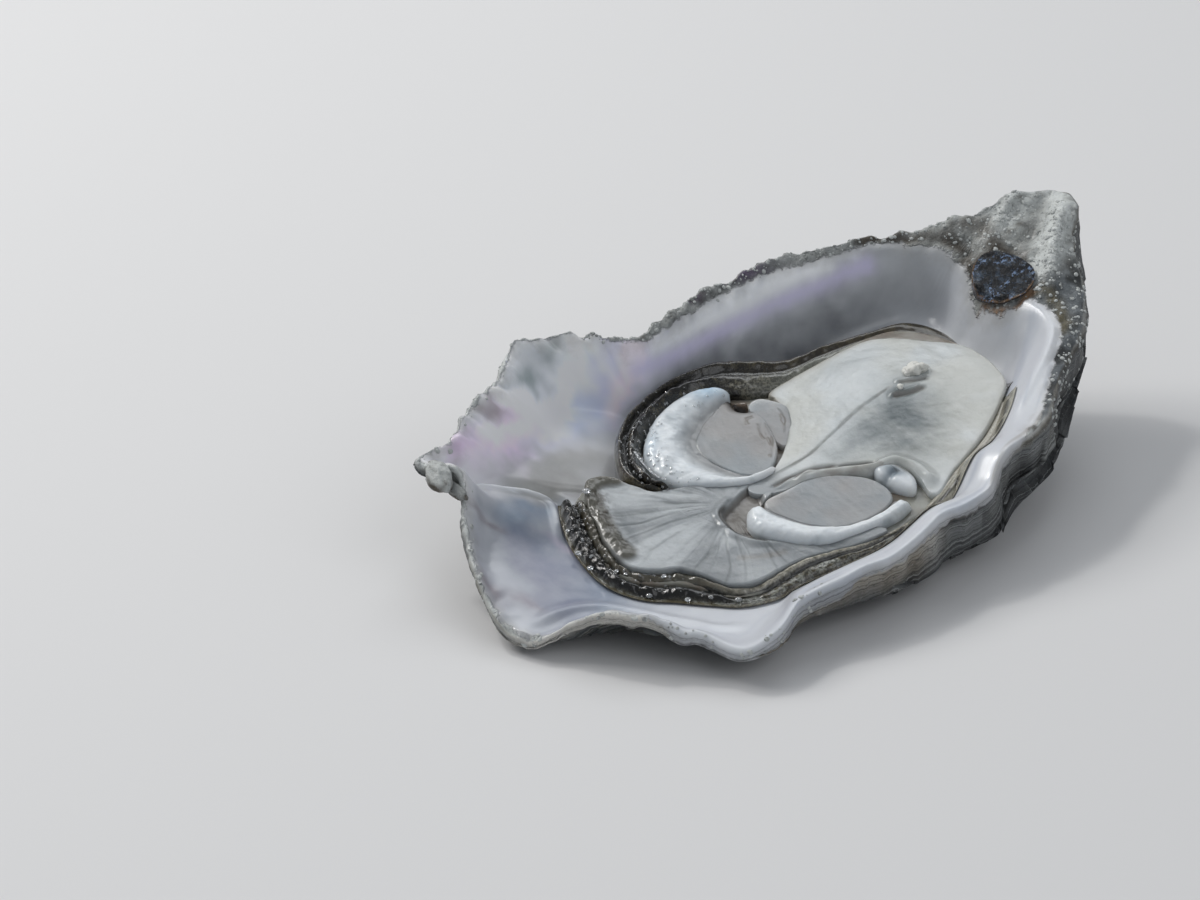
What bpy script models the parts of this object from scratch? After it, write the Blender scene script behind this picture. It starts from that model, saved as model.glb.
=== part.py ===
# Oyster on the half shell: the cupped valve with its meat, as separate closed solids.
#
# The valve is described in its own frame, in millimetres: X runs from the belly towards the
# hinge, Y towards the back lobe, Z up out of the cup, and the plane of the rim is Z = 0.
# Bearings are degrees round the Z axis from +X.  An empty then leans the whole oyster forward
# and stands it in the row frame, in metres, on Z = 0.

import math

import bmesh
import bpy
import numpy as np

MM = 0.001

# Driving dimensions (mm, degrees)
LEAN = 14.0                         # how far the valve leans towards the front left
LEAN_BEARING = -53.0                # bearing of the level line that it leans about
STAND_AT = (-3.7, -0.9, 14.0)       # the valve frame's origin in the row frame
GAP = 0.35                          # clearance between pieces that touch
BED = 0.9                           # clearance between the meat and the valve
THINNEST = 0.5                      # thinnest edge of the meat
WALL = 1.3                          # thinnest wall of the valve
THICKEST = 8.0                      # and its thickest, under the hinge
CUP_DEPTH = 12.5                    # inside depth below the rim plane
CUP_CENTRE = (10.0, 1.0)
CUP_RISE = (14.0, 8.5)              # how far the floor climbs along X and along Y
CUP_SPREAD = (35.0, 18.5)           # and over what distance
BELLY_LIFT = 7.0                    # how far the belly clears the ground ...
BELLY_REACH = (50.0, 32.0)          # ... this far along X or Y from where it stands
BELLY_CENTRE = (10.0, -2.0)
BELLY_SHARE = 0.3                   # share of the way to the outline that is all belly
FLAT_SPOT = 0.1                     # how deep the ground cuts the belly flat
UMBO = (24.0, -7.0)                 # centre of the growth lines outside
LIP_FALL = 2.3                      # how far the lip falls across its width
SHELL_COLUMNS = 70                  # facets round the rim

# Stations round the rim: bearing, reach from the origin, height of the outline, width of the
# porcelain lip, run of the wall below it, width of the crust band inside the outline, drop
# from the outline to the nacre's edge, thickness of the edge, steepness of the outside.
REACH, HEIGHT, LIP, RUN, BAND, DROP, EDGE, STEEP = range(1, 9)
RIM = (
    (0.0, 46.6, 1.5, 1.0, 7.0, 7.0, 2.4, 3.0, 1.7),
    (10.5, 39.5, 0.6, 2.5, 9.0, 1.6, 1.3, 2.5, 3.0),
    (28.0, 32.2, 0.4, 3.0, 12.0, 1.9, 1.2, 2.5, 3.0),
    (55.0, 24.9, 0.4, 2.6, 10.0, 1.9, 1.2, 2.5, 3.0),
    (80.0, 21.9, 0.7, 1.6, 7.0, 1.6, 0.9, 2.2, 2.6),
    (88.0, 21.9, 0.6, 1.8, 8.0, 1.0, 0.5, 1.8, 2.2),
    (98.0, 26.2, 2.0, 2.5, 14.0, 0.8, 0.4, 1.5, 1.8),
    (111.0, 33.3, 2.6, 3.0, 18.0, 0.7, 0.3, 1.3, 1.6),
    (121.0, 33.4, 2.4, 3.0, 18.0, 0.7, 0.3, 1.3, 1.6),
    (133.0, 37.0, 3.0, 3.0, 18.0, 0.6, 0.2, 1.3, 1.6),
    (141.0, 39.8, 3.5, 3.0, 16.0, 0.6, 0.2, 1.3, 1.6),
    (144.5, 44.7, 4.1, 3.0, 14.0, 0.8, 0.2, 1.4, 1.6),
    (150.0, 40.6, 2.6, 2.5, 10.0, 0.6, 0.2, 1.3, 1.5),
    (165.0, 44.4, -0.5, 2.0, 10.0, 0.6, 0.2, 1.3, 1.5),
    (178.5, 46.9, -3.0, 2.0, 8.0, 0.6, 0.1, 1.3, 1.5),
    (184.0, 43.6, -0.4, 2.5, 8.0, 0.6, 0.1, 1.3, 1.6),
    (190.0, 41.4, 2.0, 2.5, 9.0, 0.6, 0.1, 1.6, 1.6),
    (203.0, 40.4, 0.6, 3.0, 10.0, 0.6, 0.1, 1.8, 1.8),
    (210.5, 41.7, 0.4, 4.0, 11.0, 0.7, 0.1, 1.8, 2.0),
    (216.0, 39.2, 0.9, 4.5, 10.0, 0.8, 0.1, 2.6, 2.5),
    (221.0, 34.4, 1.0, 4.5, 8.0, 0.8, 0.1, 3.2, 3.2),
    (232.0, 31.3, 0.9, 4.5, 7.0, 0.8, 0.1, 4.0, 4.5),
    (252.0, 28.6, 0.0, 4.2, 7.0, 0.8, 0.1, 5.8, 6.5),
    (266.0, 27.3, 0.0, 4.0, 7.0, 0.8, 0.1, 6.4, 7.0),
    (280.0, 29.3, -0.4, 4.5, 7.0, 0.8, 0.1, 6.4, 7.0),
    (291.0, 29.5, 1.2, 5.0, 7.5, 0.8, 0.1, 6.4, 7.0),
    (303.0, 32.6, 0.1, 5.0, 8.0, 1.5, 0.1, 6.0, 5.0),
    (320.0, 37.2, -0.3, 4.5, 8.0, 2.5, -0.4, 5.2, 3.5),
    (334.0, 44.8, -0.5, 3.5, 7.0, 5.0, -0.6, 4.0, 3.0),
    (345.0, 51.2, 2.2, 1.5, 7.0, 13.6, 3.2, 3.4, 1.7),
    (350.5, 54.8, 4.6, 1.0, 7.0, 17.6, 5.9, 3.0, 1.4),
    (356.0, 52.0, 3.8, 1.0, 7.0, 13.4, 5.0, 3.0, 1.4),
)

# Folds that stand up inside the valve: from, to, height at each end, and how far the flank
# spreads to the left and to the right
FOLDS = (
    ((-36.0, 24.5), (-28.2, 10.8), 1.6, 1.2, 5.0, 1.8),     # crest that splits the left end
    ((38.4, -15.9), (52.0, -7.2), 1.0, 1.6, 2.4, 2.0),      # right ridge of the beak
    ((40.0, 3.5), (50.5, -3.0), 1.0, 1.2, 2.0, 2.4),        # left ridge of the beak
)

# Growth shelves outside: where each one ends, from 0 at the umbo to 1 at the outline, and how
# far its edge stands proud of the next where the rim is thickest
SHELVES = ((0.52, 1.0), (0.68, 1.6), (0.81, 2.6), (0.905, 3.6), (0.965, 2.9))
SHELF_DROP = 0.4                    # how much of that still counts where it faces down
INNERMOST = 0.16                    # where the smallest ring round the umbo lies
WIDE_SHELF = 0.12                   # a shelf wider than this has a ring half-way too
STEP = 0.008                        # half the width of the step at a shelf's edge

# The two rails of each mantle frill, outer point then inner point, from its left end on
BACK_FRILL = (
    ((-15.4, 4.6), (-14.2, 3.8)), ((-16.3, 8.4), (-13.9, 6.4)), ((-14.8, 11.5), (-12.6, 9.2)),
    ((-10.6, 15.0), (-9.6, 11.9)), ((-5.8, 16.7), (-5.0, 13.4)), ((-0.6, 17.2), (-0.7, 13.5)),
    ((4.8, 16.3), (2.9, 12.5)), ((10.0, 14.3), (5.4, 10.2)), ((13.2, 10.6), (7.4, 7.4)),
    ((16.2, 8.0), (10.0, 5.2)), ((21.9, 6.0), (15.8, 3.9)), ((27.5, 3.4), (21.6, 2.2)),
    ((32.0, 1.0), (25.0, -0.6)), ((33.2, -3.5), (27.0, -4.6)), ((31.6, -8.2), (28.8, -8.4)),
    ((30.4, -11.6), (28.6, -11.4)), ((28.8, -14.8), (27.6, -14.2)), ((26.6, -17.6), (25.8, -16.9)),
)
FRONT_FRILL = (
    ((-22.6, 13.8), (-21.2, 13.1)), ((-25.6, 11.6), (-22.2, 10.4)), ((-28.4, 8.4), (-24.2, 7.6)),
    ((-30.2, 5.2), (-26.1, 4.8)), ((-31.4, 2.0), (-27.4, 2.0)), ((-31.7, -1.2), (-27.8, -0.6)),
    ((-31.0, -4.6), (-26.6, -2.8)), ((-29.2, -7.6), (-24.8, -5.0)), ((-27.6, -11.3), (-24.0, -8.0)),
    ((-26.1, -14.4), (-23.6, -11.2)), ((-23.3, -16.4), (-21.6, -13.2)),
    ((-20.3, -17.4), (-18.6, -14.9)), ((-17.2, -18.2), (-15.9, -15.8)),
    ((-13.9, -19.4), (-12.9, -16.9)), ((-10.4, -21.2), (-9.6, -19.0)), ((-6.5, -22.5), (-6.1, -20.7)),
    ((-2.0, -23.4), (-2.0, -21.8)), ((2.6, -23.6), (2.4, -21.8)), ((8.0, -22.9), (7.6, -21.1)),
    ((14.3, -22.4), (13.6, -20.6)), ((19.5, -21.4), (18.6, -19.6)), ((23.9, -19.6), (23.0, -18.2)),
)
FRILL_BACK_TOP = (-4.9, -0.062)     # height at x = 0, and its fall per mm towards the hinge
FRILL_FRONT_TOP = (-3.0, -0.0013)   # height at x = 5, and its fall per square mm from there

# Outlines of the pieces that lie between the frills, each anticlockwise about its own middle
BODY_LEFT = (
    (10.4, 4.9), (8.4, 4.4), (7.0, 2.4), (4.0, -0.4), (1.0, -2.3), (-2.9, -3.7), (-5.8, -4.2),
    (-6.6, -6.2), (-4.2, -7.3), (-1.3, -9.1), (1.2, -11.5), (2.9, -13.2), (4.5, -15.0),
    (4.6, -17.2), (4.0, -19.4), (3.0, -21.6),
)
FAN_RIGHT = (
    (-13.0, -16.7), (-14.0, -14.8), (-15.2, -11.8), (-16.3, -8.9), (-15.3, -6.2), (-12.4, -4.8),
    (-9.8, -5.1), (-7.2, -6.0), (-6.4, -4.4), (-8.7, -2.4), (-11.2, -0.2), (-13.0, 1.8),
    (-14.2, 3.0), (-16.2, 4.4), (-17.2, 8.0), (-18.0, 10.6), (-19.4, 12.4),
)
BACK_DISC = (
    (3.2, 8.2), (4.6, 7.0), (3.2, 5.2), (2.8, 3.2), (1.4, 0.9), (-0.4, -1.1), (-2.8, -2.4),
    (-5.2, -2.6), (-6.6, -1.0), (-7.0, 1.6), (-6.8, 4.4), (-5.5, 6.5), (-2.6, 7.7), (0.4, 8.0),
)
BACK_BAND = (
    ((5.0, 9.3), (3.7, 8.2)), ((2.4, 11.8), (0.9, 8.5)), ((-0.9, 13.0), (-1.4, 8.3)),
    ((-5.0, 12.9), (-4.5, 7.5)), ((-9.4, 11.3), (-6.5, 6.1)), ((-12.2, 8.8), (-7.4, 4.1)),
    ((-13.3, 5.8), (-7.6, 1.4)), ((-12.6, 2.3), (-7.2, -0.8)), ((-10.6, -0.6), (-6.4, -2.4)),
    ((-8.0, -2.8), (-4.6, -3.2)), ((-4.8, -3.9), (-3.3, -3.5)),
)
BACK_FLAP = ((4.9, 4.9), (6.2, 3.1), (4.8, 0.9), (1.9, -1.1), (2.4, 0.7), (3.6, 2.8))
FRONT_DISC = (
    (-10.6, -6.4), (-7.5, -7.6), (-4.4, -8.5), (-2.0, -10.2), (-0.5, -12.2), (0.3, -14.3),
    (0.2, -16.4), (-0.9, -17.9), (-3.2, -18.1), (-6.2, -17.3), (-8.7, -15.5), (-10.3, -12.6),
    (-10.9, -9.6), (-11.3, -7.4),
)
FRONT_BAND = (
    ((-12.8, -5.3), (-11.6, -6.2)), ((-15.1, -6.8), (-11.8, -7.6)), ((-15.8, -8.9), (-11.5, -9.6)),
    ((-14.8, -11.6), (-10.9, -12.3)), ((-13.7, -14.3), (-9.7, -14.9)), ((-11.9, -16.9), (-7.8, -17.0)),
    ((-9.0, -18.6), (-5.2, -18.3)), ((-5.9, -20.2), (-3.0, -18.7)), ((-2.2, -21.2), (-1.0, -18.7)),
    ((0.9, -21.0), (0.5, -19.2)),
)
FRONT_NUB = ((2.2, -13.6), (3.9, -15.2), (4.0, -17.2), (3.4, -19.2), (1.6, -19.8), (0.9, -17.4),
             (1.1, -15.2))
LIGAMENT = ((39.3, -3.9), (41.8, -3.8), (42.6, -5.4), (41.8, -8.2), (40.5, -10.9), (38.4, -12.0),
            (36.4, -11.0), (35.9, -8.5), (36.6, -5.6))
POCKET_TOP = 3.0                    # higher than the crust round the ligament

# Colour, roughness and metallic value of each finish
FINISHES = {
    "shell": ((0.62, 0.64, 0.66), 0.45, 0.0),
    "hinge_ligament": ((0.03, 0.035, 0.05), 0.3, 0.0),
    "body": ((0.60, 0.61, 0.58), 0.2, 0.0),
    "gill_fan": ((0.50, 0.52, 0.53), 0.22, 0.0),
    "mantle": ((0.045, 0.045, 0.04), 0.2, 0.0),
    "muscle": ((0.36, 0.37, 0.38), 0.25, 0.0),
    "muscle_band": ((0.62, 0.67, 0.72), 0.2, 0.0),
}


def through(knots, values, query, period):
    """A smooth closed curve through the values, level wherever they turn."""
    knots, values = np.asarray(knots, float), np.asarray(values, float)
    knots = np.concatenate([knots[-2:] - period, knots, knots[:3] + period])
    values = np.concatenate([values[-2:], values, values[:3]])
    query = np.mod(query, period)
    step = np.diff(knots)
    slope = np.diff(values) / step
    before, after = slope[:-1], slope[1:]
    climbs = before * after > 0
    tangent = np.where(climbs, 2 * before * after / np.where(climbs, before + after, 1), 0)
    tangent = np.concatenate([[0], tangent, [0]])
    i = np.clip(np.searchsorted(knots, query, side="right") - 1, 0, len(step) - 1)
    u = (query - knots[i]) / step[i]
    bend = tangent[i] * u * (1 - u) ** 2 - tangent[i + 1] * u * u * (1 - u)
    return values[i] + (values[i + 1] - values[i]) * smooth(u) + step[i] * bend


def smooth(u):
    u = np.clip(u, 0, 1)
    return u * u * (3 - 2 * u)


def rim(bearing, column):
    return through([s[0] for s in RIM], [s[column] for s in RIM], bearing, 360.0)


def folds(x, y):
    """The height that the folds add inside the valve."""
    total = np.zeros_like(x)
    for start, end, high, low, left, right in FOLDS:
        run = np.subtract(end, start)
        length = np.hypot(*run)
        along = ((x - start[0]) * run[0] + (y - start[1]) * run[1]) / length ** 2
        across = ((y - start[1]) * run[0] - (x - start[0]) * run[1]) / length
        fade = smooth(1.3 - np.abs(2 * along - 1))
        flank = np.exp(-np.abs(across) / np.where(across > 0, left, right))
        total += (high + (low - high) * np.clip(along, 0, 1)) * flank * fade
    return total


def inside(x, y):
    """Height of the valve's upper surface: the nacre, and the crust band round it."""
    bearing, radius = np.degrees(np.arctan2(y, x)), np.hypot(x, y)
    band, drop, lip = rim(bearing, BAND), rim(bearing, DROP), rim(bearing, LIP)
    nacre = rim(bearing, HEIGHT) - drop
    inward = rim(bearing, REACH) - band - radius
    floor = -CUP_DEPTH
    for here, centre, rise, spread in zip((x, y), CUP_CENTRE, CUP_RISE, CUP_SPREAD):
        floor = floor + rise * (1 - np.exp(-((here - centre) / spread) ** 2 / 2))
    fallen = nacre - LIP_FALL * np.clip(inward / lip, 0, 3) ** 1.4
    wall = smooth(1 - (inward - 0.5 * lip) / rim(bearing, RUN))
    cup = floor + (np.maximum(fallen, floor) - floor) * wall
    crust = nacre + drop * np.clip(-inward / band, 0, 1)
    return np.where(inward > 0, cup, crust) + folds(x, y)


def outside(x, y, bearing, out):
    """Height of the valve's underside, `out` of the way from the umbo to the outline."""
    edge = rim(bearing, HEIGHT) - rim(bearing, EDGE)
    ahead, lean = math.radians(LEAN_BEARING + 90), math.radians(LEAN)
    uphill = x * math.cos(ahead) + y * math.sin(ahead)
    belly = -(STAND_AT[2] + FLAT_SPOT + uphill * math.sin(lean)) / math.cos(lean)
    for here, centre, reach in zip((x, y), BELLY_CENTRE, BELLY_REACH):
        belly = belly + BELLY_LIFT * np.abs((here - centre) / reach) ** 3
    near = max(0.0, (out - BELLY_SHARE) / (1 - BELLY_SHARE)) ** rim(bearing, STEEP)
    height = edge * near + belly * (1 - near)
    above = inside(x, y)
    return np.clip(height, above - THICKEST, above - WALL)


def shelf(out):
    """How far the outside stands proud at `out`: each shelf swells to its edge, then stops."""
    start = 0.0
    for end, proud in SHELVES:
        if out < end:
            return proud * ((out - start) / (end - start)) ** 2
        start = end
    return 0.0


def even_bearings(count):
    """Bearings that share the rim's length out evenly."""
    fine = np.linspace(0, 360, 2881)
    x, y = rim(fine, REACH) * np.array([np.cos(np.radians(fine)), np.sin(np.radians(fine))])
    travel = np.concatenate([[0], np.cumsum(np.hypot(np.diff(x), np.diff(y)))])
    return np.interp(np.arange(count) / count * travel[-1], travel, fine)


def shell_rings():
    """The valve as rings of points, from the cup's middle over the rim to the umbo outside."""
    bearing = even_bearings(SHELL_COLUMNS)
    reach, band = rim(bearing, REACH), rim(bearing, BAND)
    ray = np.array([np.cos(np.radians(bearing)), np.sin(np.radians(bearing))])
    rings = []
    for part in (0.2, 0.38, 0.54, 0.67, 0.78, 0.86, 0.925, 0.97, 1.0):
        x, y = ray * (reach - band) * part
        rings.append((x, y, inside(x, y)))
    for part in (0.3, 0.65, 0.95):
        x, y = ray * (reach - band * (1 - part))
        rings.append((x, y, inside(x, y)))
    edge_x, edge_y = ray * reach
    rings.append((edge_x, edge_y, rim(bearing, HEIGHT) - 0.35 * rim(bearing, EDGE)))

    outs = [1.0 - STEP]
    for (end, _), (start, _) in zip(SHELVES[::-1], SHELVES[-2::-1] + ((INNERMOST, 0.0),)):
        outs += [end + STEP, end - STEP]
        outs += [(start + end) / 2] if end - start > WIDE_SHELF else []
    outs += [INNERMOST]
    base = []
    for out in outs:
        x = UMBO[0] + (edge_x - UMBO[0]) * out
        y = UMBO[1] + (edge_y - UMBO[1]) * out
        base.append((x, y, outside(x, y, bearing, out)))
    base = np.array(base)
    around = np.roll(base, -1, axis=2) - np.roll(base, 1, axis=2)
    facing = np.cross(around, np.gradient(base, axis=0), axis=1)
    flat = np.abs(facing[:, 2:3]) / np.linalg.norm(facing, axis=1, keepdims=True)
    away = np.array([edge_x - UMBO[0], edge_y - UMBO[1]])
    away = np.vstack([away / np.linalg.norm(away, axis=0), -SHELF_DROP * np.ones((1, len(edge_x)))])
    proud = np.array([shelf(out) for out in outs])[:, None, None]
    proud = proud * (rim(bearing, EDGE) / max(station[EDGE] for station in RIM)) ** 1.5
    push = np.concatenate([np.sqrt(1 - flat ** 2), np.sqrt(1 - flat ** 2), flat], axis=1)
    return rings + list(base + away * push * proud)


def curve(points, count, closed):
    """A Catmull-Rom curve through the points, as `count` points evenly spread along it."""
    points = np.asarray(points, float)
    ends = (points[-1:], points[:2]) if closed else (points[:1], points[-1:])
    held = np.concatenate([ends[0], points, ends[1]])
    spans = len(held) - 3
    where = np.linspace(0, spans, 12 * spans + 1)
    i = np.minimum(where.astype(int), spans - 1)
    u = (where - i)[:, None]
    a, b, c, d = held[i], held[i + 1], held[i + 2], held[i + 3]
    dense = b + 0.5 * u * (c - a + u * (2 * a - 5 * b + 4 * c - d + u * (3 * (b - c) + d - a)))
    travel = np.concatenate([[0], np.cumsum(np.linalg.norm(np.diff(dense[:, :2], axis=0), axis=1))])
    stops = np.linspace(0, travel[-1], count + 1)[:-1] if closed else np.linspace(0, travel[-1], count)
    return np.stack([np.interp(stops, travel, column) for column in dense.T], 1)


def patch_rings(outline, count, top, rounding, grow=-GAP / 2):
    """A blob inside an outline, its top edge rounded off, bedded on the valve."""
    edge = curve(outline, count, True)
    along = np.roll(edge, -1, 0) - np.roll(edge, 1, 0)
    out = np.stack([along[:, 1], -along[:, 0]], 1) / np.linalg.norm(along, axis=1)[:, None]
    centre = edge.mean(0)
    out *= np.sign(np.sum(out * (edge - centre), axis=1).sum())
    edge = edge + out * grow
    upper, lower = [], []
    for part in (0.3, 0.6, 0.85, 1 - rounding / 12, 1.0):
        x, y = (centre + (edge - centre) * part).T
        bed = inside(x, y) + BED
        fall = rounding * smooth((part - 0.75) / 0.25) ** 2
        upper.append((x, y, np.maximum(top(x, y) - fall, bed + THINNEST)))
        lower.append((x, y, bed))
    return upper + [lower[4], lower[2], lower[0]]


def ribbon_rings(rails, count, top, crowns):
    """A long piece between two rails as sections across it, its top in rounded crowns."""
    paired = curve([outer + inner for outer, inner in rails], count, False)
    outer, inner = paired[:, :2], paired[:, 2:]
    across = (inner - outer) / np.linalg.norm(inner - outer, axis=1)[:, None]
    outer, inner = outer + across * GAP / 2, inner - across * GAP / 2
    parts = np.linspace(0, 1, 4 * crowns + 1)
    rings = []
    for k in range(count):
        x, y = (outer[k] + (inner[k] - outer[k]) * parts[:, None]).T
        bed = inside(x, y) + BED
        width = np.hypot(*(inner[k] - outer[k]))
        crown = min(0.9, 0.3 * width) * (1 - np.abs(np.sin(math.pi * crowns * parts)))
        high = np.maximum(top(x, y) - crown, bed + THINNEST)
        rings.append((np.append(x, x[::-2]), np.append(y, y[::-2]), np.append(high, bed[::-2])))
    return rings


def solid(name, rings, finish, frame, collection):
    """A closed object lofted through the rings, with a fan at each end."""
    mesh = bmesh.new()
    loops = [[mesh.verts.new((x * MM, y * MM, z * MM)) for x, y, z in zip(*ring)] for ring in rings]
    for one, two in zip(loops, loops[1:]):
        for k in range(len(one)):
            j = (k + 1) % len(one)
            mesh.faces.new((one[k], one[j], two[j], two[k]))
    for loop, flip in ((loops[0], 1), (loops[-1], -1)):
        middle = mesh.verts.new(sum((v.co for v in loop), start=loop[0].co * 0) / len(loop))
        for k in range(len(loop)):
            mesh.faces.new((middle, loop[(k + 1) % len(loop)], loop[k])[::flip])
    bmesh.ops.recalc_face_normals(mesh, faces=mesh.faces)
    data = bpy.data.meshes.new(name)
    mesh.to_mesh(data)
    mesh.free()
    data.shade_smooth()
    piece = bpy.data.objects.new(name, data)
    piece.parent = frame
    collection.objects.link(piece)
    if finish:
        data.materials.append(finish)
    return piece


def material(name):
    colour, roughness, metallic = FINISHES[name]
    finish = bpy.data.materials.new(name)
    finish.use_nodes = True
    shader = finish.node_tree.nodes["Principled BSDF"]
    shader.inputs["Base Color"].default_value = (*colour, 1)
    shader.inputs["Roughness"].default_value = roughness
    shader.inputs["Metallic"].default_value = metallic
    return finish


def cut(piece, cutter):
    cutter.hide_render = True
    cutter.display_type = "WIRE"
    tool = piece.modifiers.new(cutter.name, "BOOLEAN")
    tool.operation = "DIFFERENCE"
    tool.solver = "EXACT"
    tool.object = cutter


def ground_cutter(collection):
    """A slab below Z = 0 that leaves the flat spot the valve stands on."""
    bpy.ops.mesh.primitive_cube_add(size=0.2, location=(0, 0, -0.1))
    slab = bpy.context.object
    slab.name = "ground_cut"
    for owner in list(slab.users_collection):
        owner.objects.unlink(slab)
    collection.objects.link(slab)
    return slab


def body_top(x, y):
    plump = 1.3 * np.exp(-((x - 17) / 11) ** 2 - ((y + 8) / 9) ** 2)
    return -4.3 - 0.075 * (y + 9) - 0.015 * (x - 8) + plump


def fan_top(x, y):
    """The gill fan: pleats that spread from a hub beside the muscles."""
    spoke, away = np.arctan2(y + 5, x + 8), np.hypot(x + 8, y + 5)
    pleats = 0.3 * np.sin(spoke * 26) * smooth((away - 5) / 6)
    return -4.0 - 0.02 * (y + 1) + pleats


def frill_back_top(x, _):
    return FRILL_BACK_TOP[0] + FRILL_BACK_TOP[1] * x


def frill_front_top(x, _):
    return FRILL_FRONT_TOP[0] + FRILL_FRONT_TOP[1] * (x - 5) ** 2


def level(height):
    return lambda x, _: height + 0.0 * x


def ligament_top(x, y):
    return 0.2 + 0.16 * (x - 39) + 0.25 * np.cos(1.9 * y)


def build():
    for left_over in list(bpy.data.objects):
        bpy.data.objects.remove(left_over)
    oyster = bpy.data.collections.new("oyster_on_half_shell")
    cutters = bpy.data.collections.new("cutters")
    for collection in (oyster, cutters):
        bpy.context.scene.collection.children.link(collection)
    frame = bpy.data.objects.new("valve_frame", None)
    frame.location = [at * MM for at in STAND_AT]
    frame.rotation_mode = "AXIS_ANGLE"
    turn = math.radians(LEAN_BEARING)
    frame.rotation_axis_angle = (math.radians(LEAN), math.cos(turn), math.sin(turn), 0)
    oyster.objects.link(frame)

    finishes = {name: material(name) for name in FINISHES}
    # The body reaches the inner rails of both frills on its right, and the fan the front one's
    body_right = [inner for _, inner in FRONT_FRILL[18:]] + [inner for _, inner in BACK_FRILL[:8:-1]]
    body = BODY_LEFT + tuple(body_right)
    fan = FAN_RIGHT + tuple(inner for _, inner in FRONT_FRILL[1:13])

    def patch(name, outline, count, top, rounding, finish):
        return solid(name, patch_rings(outline, count, top, rounding), finishes[finish], frame, oyster)

    def ribbon(name, rails, count, top, crowns, finish):
        return solid(name, ribbon_rings(rails, count, top, crowns), finishes[finish], frame, oyster)

    shell = solid("shell", shell_rings(), finishes["shell"], frame, oyster)
    patch("hinge_ligament", LIGAMENT, 14, ligament_top, 0.4, "hinge_ligament")
    patch("body", body, 40, body_top, 1.2, "body")
    patch("gill_fan", fan, 56, fan_top, 0.4, "gill_fan")
    ribbon("mantle_back", BACK_FRILL, 30, frill_back_top, 2, "mantle")
    ribbon("mantle_front", FRONT_FRILL, 40, frill_front_top, 2, "mantle")
    patch("muscle_back", BACK_DISC, 20, level(-4.6), 0.4, "muscle")
    patch("muscle_back_flap", BACK_FLAP, 12, level(-4.3), 0.3, "muscle")
    ribbon("muscle_back_band", BACK_BAND, 22, level(-3.6), 1, "muscle_band")
    patch("muscle_front", FRONT_DISC, 20, level(-3.4), 0.4, "muscle")
    ribbon("muscle_front_band", FRONT_BAND, 22, level(-2.7), 1, "muscle_band")
    patch("muscle_front_nub", FRONT_NUB, 14, level(-2.7), 0.8, "muscle_band")

    # The ligament's pocket is the ligament itself, wider by the gap, deeper, and open above
    pocket = patch_rings(LIGAMENT, 14, level(POCKET_TOP), 0.0, GAP / 2)
    pocket = pocket[:5] + [(x, y, z - 2 * GAP) for x, y, z in pocket[5:]]
    cut(shell, solid("ligament_cut", pocket, None, frame, cutters))
    cut(shell, ground_cutter(cutters))


build()
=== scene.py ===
import math

import bpy
import numpy as np
from mathutils import Matrix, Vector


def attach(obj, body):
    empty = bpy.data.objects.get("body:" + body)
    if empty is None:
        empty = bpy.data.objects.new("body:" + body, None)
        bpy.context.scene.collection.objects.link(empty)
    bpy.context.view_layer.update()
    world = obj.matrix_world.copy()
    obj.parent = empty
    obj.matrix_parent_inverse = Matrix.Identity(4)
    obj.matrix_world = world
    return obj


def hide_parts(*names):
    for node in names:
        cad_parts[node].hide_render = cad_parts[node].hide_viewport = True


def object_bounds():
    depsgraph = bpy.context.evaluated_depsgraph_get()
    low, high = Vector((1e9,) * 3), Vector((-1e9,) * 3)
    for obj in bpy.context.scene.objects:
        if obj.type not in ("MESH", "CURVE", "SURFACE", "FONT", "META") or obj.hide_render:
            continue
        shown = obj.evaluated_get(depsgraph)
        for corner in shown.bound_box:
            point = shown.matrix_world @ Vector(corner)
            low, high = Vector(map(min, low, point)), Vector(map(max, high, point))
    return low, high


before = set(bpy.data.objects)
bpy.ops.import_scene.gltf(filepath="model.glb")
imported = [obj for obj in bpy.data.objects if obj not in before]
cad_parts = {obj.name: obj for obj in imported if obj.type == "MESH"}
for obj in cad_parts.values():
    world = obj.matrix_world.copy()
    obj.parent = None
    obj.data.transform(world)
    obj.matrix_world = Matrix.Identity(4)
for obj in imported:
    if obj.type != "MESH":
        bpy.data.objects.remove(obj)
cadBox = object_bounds()

# The oyster is described in its valve's own frame, in millimetres: X runs to the hinge, Y to the
# back lobe, Z up out of the cup, and the rim's plane is Z = 0. Bearings are degrees from +X.
mm = 0.001
stand = {
    "lean": 14.0,                      # how far the valve leans towards the front left
    "levelBearing": -53.0,             # bearing of the line that stays level
    "origin": (-3.7, -0.9, 14.0),      # where the valve frame's origin stands
    "boxMargin": 0.02,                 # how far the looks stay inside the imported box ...
    "boxSoftness": 1.2,                # ... and over what depth they are drawn in to it
}


def leaning():
    turn = math.radians(stand["levelBearing"])
    axis = (math.cos(turn), math.sin(turn), 0)
    return np.array(Matrix.Rotation(math.radians(stand["lean"]), 3, axis))


# from the valve frame to the row frame, in metres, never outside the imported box
def toRow(points):
    points = (np.asarray(points, float) @ leaning().T + stand["origin"]) * mm
    low, high = (np.array(corner) for corner in cadBox)
    margin, soft = stand["boxMargin"] * mm, stand["boxSoftness"] * mm
    for axis in range(3):
        most = high[axis] - margin - soft
        over = np.maximum(points[..., axis] - most, 0) / soft
        points[..., axis] = np.minimum(points[..., axis], most) + soft * np.tanh(over)
        if axis < 2:
            least = low[axis] + margin + soft
            under = np.maximum(least - points[..., axis], 0) / soft
            points[..., axis] = np.maximum(points[..., axis], least) - soft * np.tanh(under)
    points[..., 2] = np.maximum(points[..., 2], low[2])
    return points


def smooth(u):
    u = np.clip(u, 0, 1)
    return u * u * (3 - 2 * u)


def mixed(a, b, share):
    return a + (b - a) * share


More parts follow.
